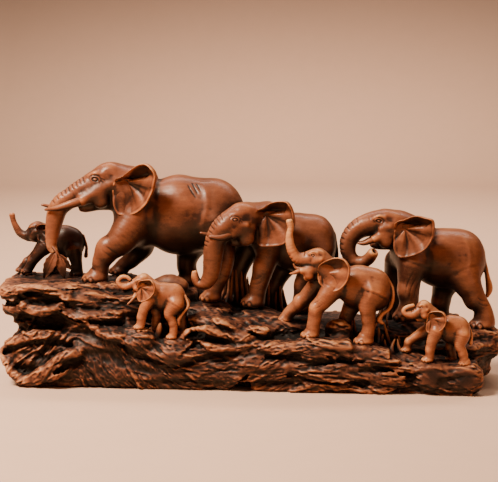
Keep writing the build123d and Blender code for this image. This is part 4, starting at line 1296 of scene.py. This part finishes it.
def leaf_blade(start, tip, half_width, bow, lift):
    """A closed leaf from its stem end to its tip, bowed towards the viewer with a raised midrib."""
    start, tip = np.array(start, float), np.array(tip, float)
    way = (tip - start) / np.linalg.norm(tip - start)
    across = np.cross(way, (0.0, 1.0, 0.0))
    across /= np.linalg.norm(across)
    out = np.cross(across, way)
    if out[1] > 0:
        out = -out
    rows, columns = 36, 20
    length = np.linalg.norm(tip - start)
    sheets = []
    for face in (1, -1):
        for i in range(rows + 1):
            s = i / rows
            width = half_width * math.sin(math.pi * min(s * 0.96 + 0.02, 1))**0.75 * (1.25 - 0.5 * s)
            for j in range(columns + 1):
                t = 2 * j / columns - 1
                serration = 1 + 0.06 * math.sin(30 * s + 2.0 * math.copysign(1, t))
                vein = 0.22 * math.cos(14 * math.pi * (s + 0.16 * abs(t)))**4 * min(1, 3 * abs(t))
                rib = 0.5 * math.exp(-(t / 0.12)**2) * (1 - s)
                height = bow * math.sin(math.pi * s) + lift * t * t + (rib + vein) * (face > 0)
                thick = 0.55 * (1 - t**6) * min(1, 12 * s, 12 * (1 - s)) + 0.12
                sheets.append(start + way * s * length + across * t * width * serration
                              + out * (height + face * thick))
    # Faces of the front and the back sheet, then a band that joins them round the rim.
    count = columns + 1
    other = (rows + 1) * count
    faces = []
    for i in range(rows):
        for j in range(columns):
            a = i * count + j
            faces.append((a, a + 1, a + count + 1, a + count))
            faces.append((other + a + count, other + a + count + 1, other + a + 1, other + a))
    rim = list(range(count))
    rim += [i * count + columns for i in range(1, rows + 1)]
    rim += [rows * count + j for j in range(columns - 1, -1, -1)]
    rim += [i * count for i in range(rows - 1, 0, -1)]
    for a, b in zip(rim, rim[1:] + rim[:1]):
        faces.append((b, a, other + a, other + b))
    return np.array(sheets), faces


def merged(shapes):
    """One vertex and face list from several."""
    points, faces = [], []
    for shape_points, shape_faces in shapes:
        shift = sum(len(p) for p in points)
        faces += [tuple(i + shift for i in face) for face in shape_faces]
        points.append(shape_points)
    return np.vstack(points), faces


def mesh_piece(name, points, faces):
    """A piece that isn't clay, with its faces turned outwards."""
    piece = piece_from(name, points, faces)
    bm = bmesh.new()
    bm.from_mesh(piece.data)
    bmesh.ops.recalc_face_normals(bm, faces=bm.faces)
    bm.to_mesh(piece.data)
    bm.free()
    plain_values(piece)
    return piece


SPRIG_STEM = [(-166.5, -11, 114, 1.3), (-163, -13, 110, 1.3), (-160, -14, 105, 1.1)]
SPRIG_LEAVES = [
    ((-163, -14.5, 110), (-173, -16, 87.5), 5.0, 1.6, 1.4),
    ((-160, -14, 106), (-155.5, -15, 87.5), 4.0, 1.2, 1.2),
    ((-161.5, -13.5, 108), (-150, -12.5, 95), 3.5, 1.0, 1.0),
]


# ----------------------------------------------------------------------------------------------
# Painted shade: how shut in each spot of the herd is, from a coarse block of the whole carving
# ----------------------------------------------------------------------------------------------

COARSE = 2.0                     # size of a coarse cell
SPACE_LOW = np.array((-236.0, -80.0, -16.0))
SPACE_SHAPE = (237, 80, 118)     # cells along each axis, with some air all round the herd

# How the block is read: (blur in cells, distance off the surface, weight), near to far.
OCCLUSION = [(1, 2.5, 0.28), (3, 6.0, 0.42), (6, 12.0, 0.60), (10, 20.0, 0.45)]

PAINTED_UNDERSIDE_SHADE = 0.62                 # how much painted shade darkens a face that looks down
PAINTED_TOPSIDE_LIGHT = 0.14                   # and how much painted light brightens a face that looks up


def fill_space(space, clay):
    """Marks the coarse cells that a carving fills."""
    ranges = []
    for i in range(3):
        cells = SPACE_LOW[i] + COARSE * np.arange(SPACE_SHAPE[i])
        index = np.round((cells - clay.low[i]) / clay.step).astype(int)
        inside = (index >= 0) & (index < clay.field.shape[i])
        ranges.append((np.nonzero(inside)[0], index[inside]))
    block = clay.field[np.ix_(*(index for cells, index in ranges))] < 0
    space[np.ix_(*(cells for cells, index in ranges))] |= block


def write_painted_shade(piece, blurred, stain_and_shade):
    """Stores painted shade: the share of nearby space, just off the surface, that other wood fills,
    deepened on faces that look down and lightened on faces that look up.

    stain_and_shade darkens a whole carving through the painted shade, or brightens it where it is
    negative.
    """
    points, normals = vertices_of(piece)
    painted_shade_and_stain = 0
    for volume, reach, weight in blurred:
        painted_shade_and_stain = painted_shade_and_stain + weight * sample(volume, SPACE_LOW, COARSE, points + normals * reach)
    up = normals[:, 2]
    # Painted shade on faces that look down, and painted light on faces that look up.
    painted_shade_and_stain = painted_shade_and_stain + PAINTED_UNDERSIDE_SHADE * np.clip(0.22 - up, 0, 1) - PAINTED_TOPSIDE_LIGHT * np.clip(up, 0, 1)
    write_values(piece, "painted_shade_and_stain", painted_shade_and_stain + max(stain_and_shade, 0))
    if stain_and_shade < 0:
        edge = np.empty(len(points), np.float32)
        piece.data.attributes["edge"].data.foreach_get("value", edge)
        brighter = np.clip(edge - stain_and_shade, 0, 1).astype(np.float32)
        piece.data.attributes["edge"].data.foreach_set("value", brighter)


# ----------------------------------------------------------------------------------------------
# Materials
# ----------------------------------------------------------------------------------------------


def blank_material(name):
    """A material and its node tree, empty."""
    material = bpy.data.materials.new(name)
    material.use_nodes = True
    material.node_tree.nodes.clear()
    return material, material.node_tree


def feed(tree, socket, value):
    """Sets a socket, or links it where value is another node's output."""
    if isinstance(value, bpy.types.NodeSocket):
        tree.links.new(value, socket)
    else:
        socket.default_value = value


def node(tree, kind, **inputs):
    """A shader node with its sockets fed; an underscore in a name stands for a space."""
    made = tree.nodes.new(kind)
    for name, value in inputs.items():
        feed(tree, made.inputs[name.replace("_", " ")], value)
    return made


def maths(tree, operation, first, second=0.0, third=0.0):
    made = tree.nodes.new("ShaderNodeMath")
    made.operation = operation
    for socket, value in zip(made.inputs, (first, second, third)):
        feed(tree, socket, value)
    return made.outputs[0]


def noise_at(tree, place, scale, detail=3.0, rough=0.55):
    made = node(tree, "ShaderNodeTexNoise", Vector=place, Scale=scale, Detail=detail, Roughness=rough)
    return made.outputs[0]


def value_of(tree, name):
    made = tree.nodes.new("ShaderNodeAttribute")
    made.attribute_name = name
    return made.outputs["Fac"]


# How much each thing moves the tone of the wood, which runs from 0, the darkest wax and painted
# shade, to 1, bare.
CLOUD, SPECK = 0.44, 0.16
WEAR_AND_PAINTED_HIGHLIGHT, HOLLOW_WAX_AND_PAINTED_SHADE, PAINTED_SHADE_DEPTH = 0.40, 0.62, 0.60


def wood(name, tones, gloss, grain, wax_and_shade, coat):
    """Stained, waxed carving: dark wax and painted shade where it is hollow, painted shade where it is
    shut in or looks down, painted light where it looks up, and worn bright on its edges, partly as a
    painted highlight.

    tones are (position, colour) stops from the darkest wax and shade to the brightest wear; gloss is
    the roughness, grain the strength of the streaks, wax_and_shade how much of the dark wax and the
    painted shade shows, and coat the weight of the polish.
    """
    material, tree = blank_material(name)
    place = tree.nodes.new("ShaderNodeTexCoord").outputs["Object"]
    along = node(tree, "ShaderNodeMapping", Vector=place, Scale=(0.22, 1.0, 1.0)).outputs[0]
    cloud = noise_at(tree, place, 22.0, 2.0)
    streak = noise_at(tree, along, 330.0, 4.0)
    speck = noise_at(tree, place, 1100.0, 3.0)
    tone = maths(tree, "MULTIPLY_ADD", cloud, CLOUD, 0.5 - 0.5 * CLOUD)
    tone = maths(tree, "MULTIPLY_ADD", streak, grain, maths(tree, "ADD", tone, -0.5 * grain))
    tone = maths(tree, "MULTIPLY_ADD", speck, SPECK, maths(tree, "ADD", tone, -0.5 * SPECK))
    # Worn edges with painted highlight, hollows with dark wax and painted shade, then painted shade.
    tone = maths(tree, "MULTIPLY_ADD", value_of(tree, "edge"), WEAR_AND_PAINTED_HIGHLIGHT, tone)
    tone = maths(tree, "MULTIPLY_ADD", value_of(tree, "crease"), -HOLLOW_WAX_AND_PAINTED_SHADE * wax_and_shade, tone)
    tone = maths(tree, "MULTIPLY_ADD", value_of(tree, "painted_shade_and_stain"), -PAINTED_SHADE_DEPTH * wax_and_shade, tone)
    ramp = tree.nodes.new("ShaderNodeValToRGB")
    tree.links.new(tone, ramp.inputs[0])
    stops = ramp.color_ramp.elements
    while len(stops) < len(tones):
        stops.new(0.5)
    for stop, (position, colour) in zip(stops, tones):
        stop.position = position
        stop.color = (*colour, 1.0)
    rough = maths(tree, "MULTIPLY_ADD", streak, 0.18, gloss - 0.09)
    rough = maths(tree, "MULTIPLY_ADD", value_of(tree, "crease"), 0.25, rough)
    rough = maths(tree, "MULTIPLY_ADD", value_of(tree, "painted_shade_and_stain"), 0.16, rough)
    height = maths(tree, "MULTIPLY_ADD", streak, 0.6, maths(tree, "MULTIPLY", speck, 0.5))
    bump = node(tree, "ShaderNodeBump", Height=height, Strength=0.35, Distance=0.0003).outputs[0]
    shader = node(tree, "ShaderNodeBsdfPrincipled", Base_Color=ramp.outputs[0], Roughness=rough, Normal=bump,
                  Coat_Weight=coat, Coat_Roughness=0.28, Specular_IOR_Level=0.36,
                  Specular_Tint=(1.0, 0.80, 0.62, 1.0))
    node(tree, "ShaderNodeOutputMaterial", Surface=shader.outputs[0])
    return material


ELEPHANT_TONES = [
    (0.0, (0.005, 0.0022, 0.0014)), (0.24, (0.044, 0.0120, 0.0054)), (0.48, (0.255, 0.072, 0.0290)),
    (0.72, (0.55, 0.182, 0.061)), (1.0, (0.88, 0.42, 0.155)),
]
ROOT_TONES = [
    (0.0, (0.005, 0.0024, 0.0018)), (0.26, (0.032, 0.0105, 0.0062)), (0.50, (0.150, 0.045, 0.0215)),
    (0.74, (0.38, 0.125, 0.046)), (1.0, (0.76, 0.34, 0.13)),
]
PEG_TONES = [(0.0, (0.10, 0.05, 0.02)), (0.5, (0.36, 0.21, 0.10)), (1.0, (0.60, 0.42, 0.24))]

carved_wood = wood("carved_wood", ELEPHANT_TONES, 0.34, 0.18, 1.0, 0.04)
root_wood = wood("root_wood", ROOT_TONES, 0.50, 0.26, 1.0, 0.02)
peg_wood = wood("peg_wood", PEG_TONES, 0.6, 0.2, 0.0, 0.0)


# ----------------------------------------------------------------------------------------------
# Building
# ----------------------------------------------------------------------------------------------

BUDGET = 190000                  # triangles at most in one piece


def finish_piece(piece, replaced, material):
    """Gives a piece its material, hangs it under the root body, and hides the CAD parts it stands for."""
    piece.data.materials.clear()
    piece.data.materials.append(material)
    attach(piece, "root")
    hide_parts(*(("base_block", "base_plinth") if replaced == "base_block" else (replaced,)))


def clay_piece(name, clay, size, keep, scales, turn_to_world=None):
    """A mesh piece from clay; turn_to_world carries an ear's own axes into the frame."""
    points, faces = surface_of(clay)
    piece = drop_chips(piece_from(name, points, faces.tolist()))
    keep = min(keep, BUDGET / (2.0 * len(faces)))
    if keep < 1:
        lighten(piece, keep)
    local, _ = vertices_of(piece)
    carve_values(piece, clay, local, size, scales)
    if turn_to_world is not None:
        root, back, up, out = turn_to_world
        placed = root + local[:, :1] * back + local[:, 1:2] * up + local[:, 2:] * out
        piece.data.vertices.foreach_set("co", (placed * MM).astype(np.float32).ravel())
        if np.dot(np.cross(back, up), out) < 0:
            piece.data.flip_normals()
        piece.data.update()
    return piece


space = np.zeros(SPACE_SHAPE, bool)
built = []

for name, spec in HERD.items():
    clay = sculpt_body(spec)
    fill_space(space, clay)
    carving = clay_piece(name + "_carving", clay, spec["size"], spec["keep"], BODY_SCALES)
    built.append((carving, name + "_body"))
    del clay
    for side, word in ((-1, "near"), (1, "far")):
        shape = sculpt_ear(spec["ear"], spec["size"], spec["hub"], 1.0 if side < 0 else FAR_EAR_SCALE)
        ear = clay_piece(name + "_fan_ear_" + word, shape, spec["size"], 0.6, EAR_SCALES,
                         ear_frame(spec["ear"], side))
        built.append((ear, name + "_ear_" + word))
    for word, points in spec["tusks"].items():
        tusk = mesh_piece(name + "_tusk_form_" + word, *tube(points, flute=0.015))
        built.append((tusk, name + "_tusk_" + word))

base_clay = sculpt_base()
fill_space(space, base_clay)
base = clay_piece("base_carving", base_clay, 1.0, 1.0, BASE_SCALES)
del base_clay
built.append((base, "base_block"))

sprig = mesh_piece("leaf_sprig_carving",
                   *merged([tube(SPRIG_STEM, sides=16), *(leaf_blade(*leaf) for leaf in SPRIG_LEAVES)]))
built.append((sprig, "leaf_sprig"))

LOOSE_STAIN = {"leaf_sprig": 0.22}
solid = space.astype(np.float32)
blurred = []
for cells, reach, weight in OCCLUSION:
    blurred.append((box_blur(box_blur(solid, cells), cells), reach, weight))

for piece, replaced in built:
    owner = next((name for name in HERD if replaced.startswith(name)), None)
    write_painted_shade(piece, blurred, HERD[owner]["stain_and_shade"] if owner else LOOSE_STAIN.get(replaced, 0.0))
    if piece is base:
        finish_piece(piece, replaced, root_wood)
    else:
        finish_piece(piece, replaced, carved_wood)

for name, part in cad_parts.items():
    if name.endswith("_foot_pegs"):
        part.data.materials.clear()
        part.data.materials.append(peg_wood)

# ----------------------------------------------------------------------------------------------
# Floor, light and camera
# ----------------------------------------------------------------------------------------------


def studio_paper():
    """Warm paper with painted shade that darkens it to the sides and up the wall."""
    material, tree = blank_material("studio_paper")
    place = tree.nodes.new("ShaderNodeTexCoord").outputs["Object"]
    mottle = noise_at(tree, place, 40.0, 4.0)
    ramp = tree.nodes.new("ShaderNodeValToRGB")
    tree.links.new(mottle, ramp.inputs[0])
    ramp.color_ramp.elements[0].color = (0.92, 0.535, 0.325, 1.0)
    ramp.color_ramp.elements[1].color = (0.97, 0.565, 0.350, 1.0)
    spot = node(tree, "ShaderNodeSeparateXYZ", Vector=place)
    # The painted shade leaves the paper brightest behind the herd, and stops growing at a limit each way.
    aside = maths(tree, "ABSOLUTE", maths(tree, "DIVIDE", maths(tree, "ADD", spot.outputs[0], 0.08), 1.05))
    aside = maths(tree, "MINIMUM", maths(tree, "POWER", aside, 2.0), 0.4)
    above = maths(tree, "DIVIDE", maths(tree, "MAXIMUM", spot.outputs[2], 0.0), 0.40)
    above = maths(tree, "MINIMUM", maths(tree, "POWER", above, 2.0), 1.1)
    fall = maths(tree, "EXPONENT", maths(tree, "MULTIPLY", maths(tree, "ADD", aside, above), -0.95))
    faded = tree.nodes.new("ShaderNodeVectorMath")
    faded.operation = "SCALE"
    feed(tree, faded.inputs["Vector"], ramp.outputs[0])
    feed(tree, faded.inputs["Scale"], fall)
    shader = node(tree, "ShaderNodeBsdfPrincipled", Base_Color=faded.outputs[0], Roughness=0.85)
    node(tree, "ShaderNodeOutputMaterial", Surface=shader.outputs[0])
    return material


def sweep_floor():
    """One sheet of paper: a round floor that curves up into a wall all the way round."""
    flat, curve, top, sides = 2.0, 0.5, 2.6, 72
    below = 0.0002               # the sheet lies just under the resting face
    profile = [(0.4, 0.0), (flat, 0.0)]
    for turn in np.linspace(0, math.pi / 2, 16)[1:]:
        profile.append((flat + curve * math.sin(turn), curve - curve * math.cos(turn)))
    profile.append((flat + curve, top))
    around = np.linspace(0, 2 * math.pi, sides, endpoint=False)
    points = [(0.0, 0.0, -below)]
    points += [(r * math.cos(turn), r * math.sin(turn), z - below) for r, z in profile for turn in around]
    faces = [(0, 1 + i, 1 + (i + 1) % sides) for i in range(sides)]
    for row in range(len(profile) - 1):
        for i in range(sides):
            first, after = 1 + row * sides, 1 + (row + 1) * sides
            faces.append((first + i, after + i, after + (i + 1) % sides, first + (i + 1) % sides))
    mesh = bpy.data.meshes.new("paper_sweep")
    mesh.from_pydata(points, [], faces)
    smooth(mesh)
    sheet = bpy.data.objects.new("paper_sweep", mesh)
    bpy.context.collection.objects.link(sheet)
    mesh.materials.append(studio_paper())


def area_light(name, place, aim, width, height, power, colour):
    lamp = bpy.data.lights.new(name, "AREA")
    lamp.shape = "RECTANGLE"
    lamp.size = width
    lamp.size_y = height
    lamp.energy = power
    lamp.color = colour
    light = bpy.data.objects.new(name, lamp)
    light.location = place
    light.rotation_euler = (Vector(aim) - Vector(place)).to_track_quat("-Z", "Y").to_euler()
    bpy.context.collection.objects.link(light)


sweep_floor()
WARM = (1.0, 0.93, 0.86)
# Name, place, aim, width, height, power in watts and colour of each lamp.
LAMPS = [
    ("key", (-0.60, -0.50, 1.10), (0.0, 0.0, 0.10), 0.40, 0.34, 33.0, (1.0, 0.93, 0.84)),
    ("fill", (0.95, -0.9, 0.45), (0.0, 0.0, 0.10), 0.9, 0.7, 1.2, WARM),
    ("backdrop", (0.0, 0.7, 1.5), (0.0, 2.1, 0.0), 2.2, 0.6, 50.0, (1.0, 0.94, 0.88)),
]
for lamp in LAMPS:
    area_light(*lamp)

world = bpy.data.worlds.new("studio")
world.use_nodes = True
world.node_tree.nodes["Background"].inputs[0].default_value = (1.0, 0.93, 0.87, 1.0)
world.node_tree.nodes["Background"].inputs[1].default_value = 0.06
bpy.context.scene.world = world

AZIMUTH, ELEVATION, DISTANCE = math.radians(4.0), math.radians(7.0), 1.25
TARGET = Vector((0.0, 0.0, 0.119))
lens = bpy.data.cameras.new("camera")
lens.lens = 106.5                # a long lens, as the flat perspective of such a group asks for
lens.sensor_width = 36.0
lens.clip_start = 0.05
camera = bpy.data.objects.new("camera", lens)
camera.location = TARGET + DISTANCE * Vector((math.sin(AZIMUTH) * math.cos(ELEVATION),
                                              -math.cos(AZIMUTH) * math.cos(ELEVATION),
                                              math.sin(ELEVATION)))
camera.rotation_euler = (TARGET - camera.location).to_track_quat("-Z", "Y").to_euler()
bpy.context.collection.objects.link(camera)
bpy.context.scene.camera = camera
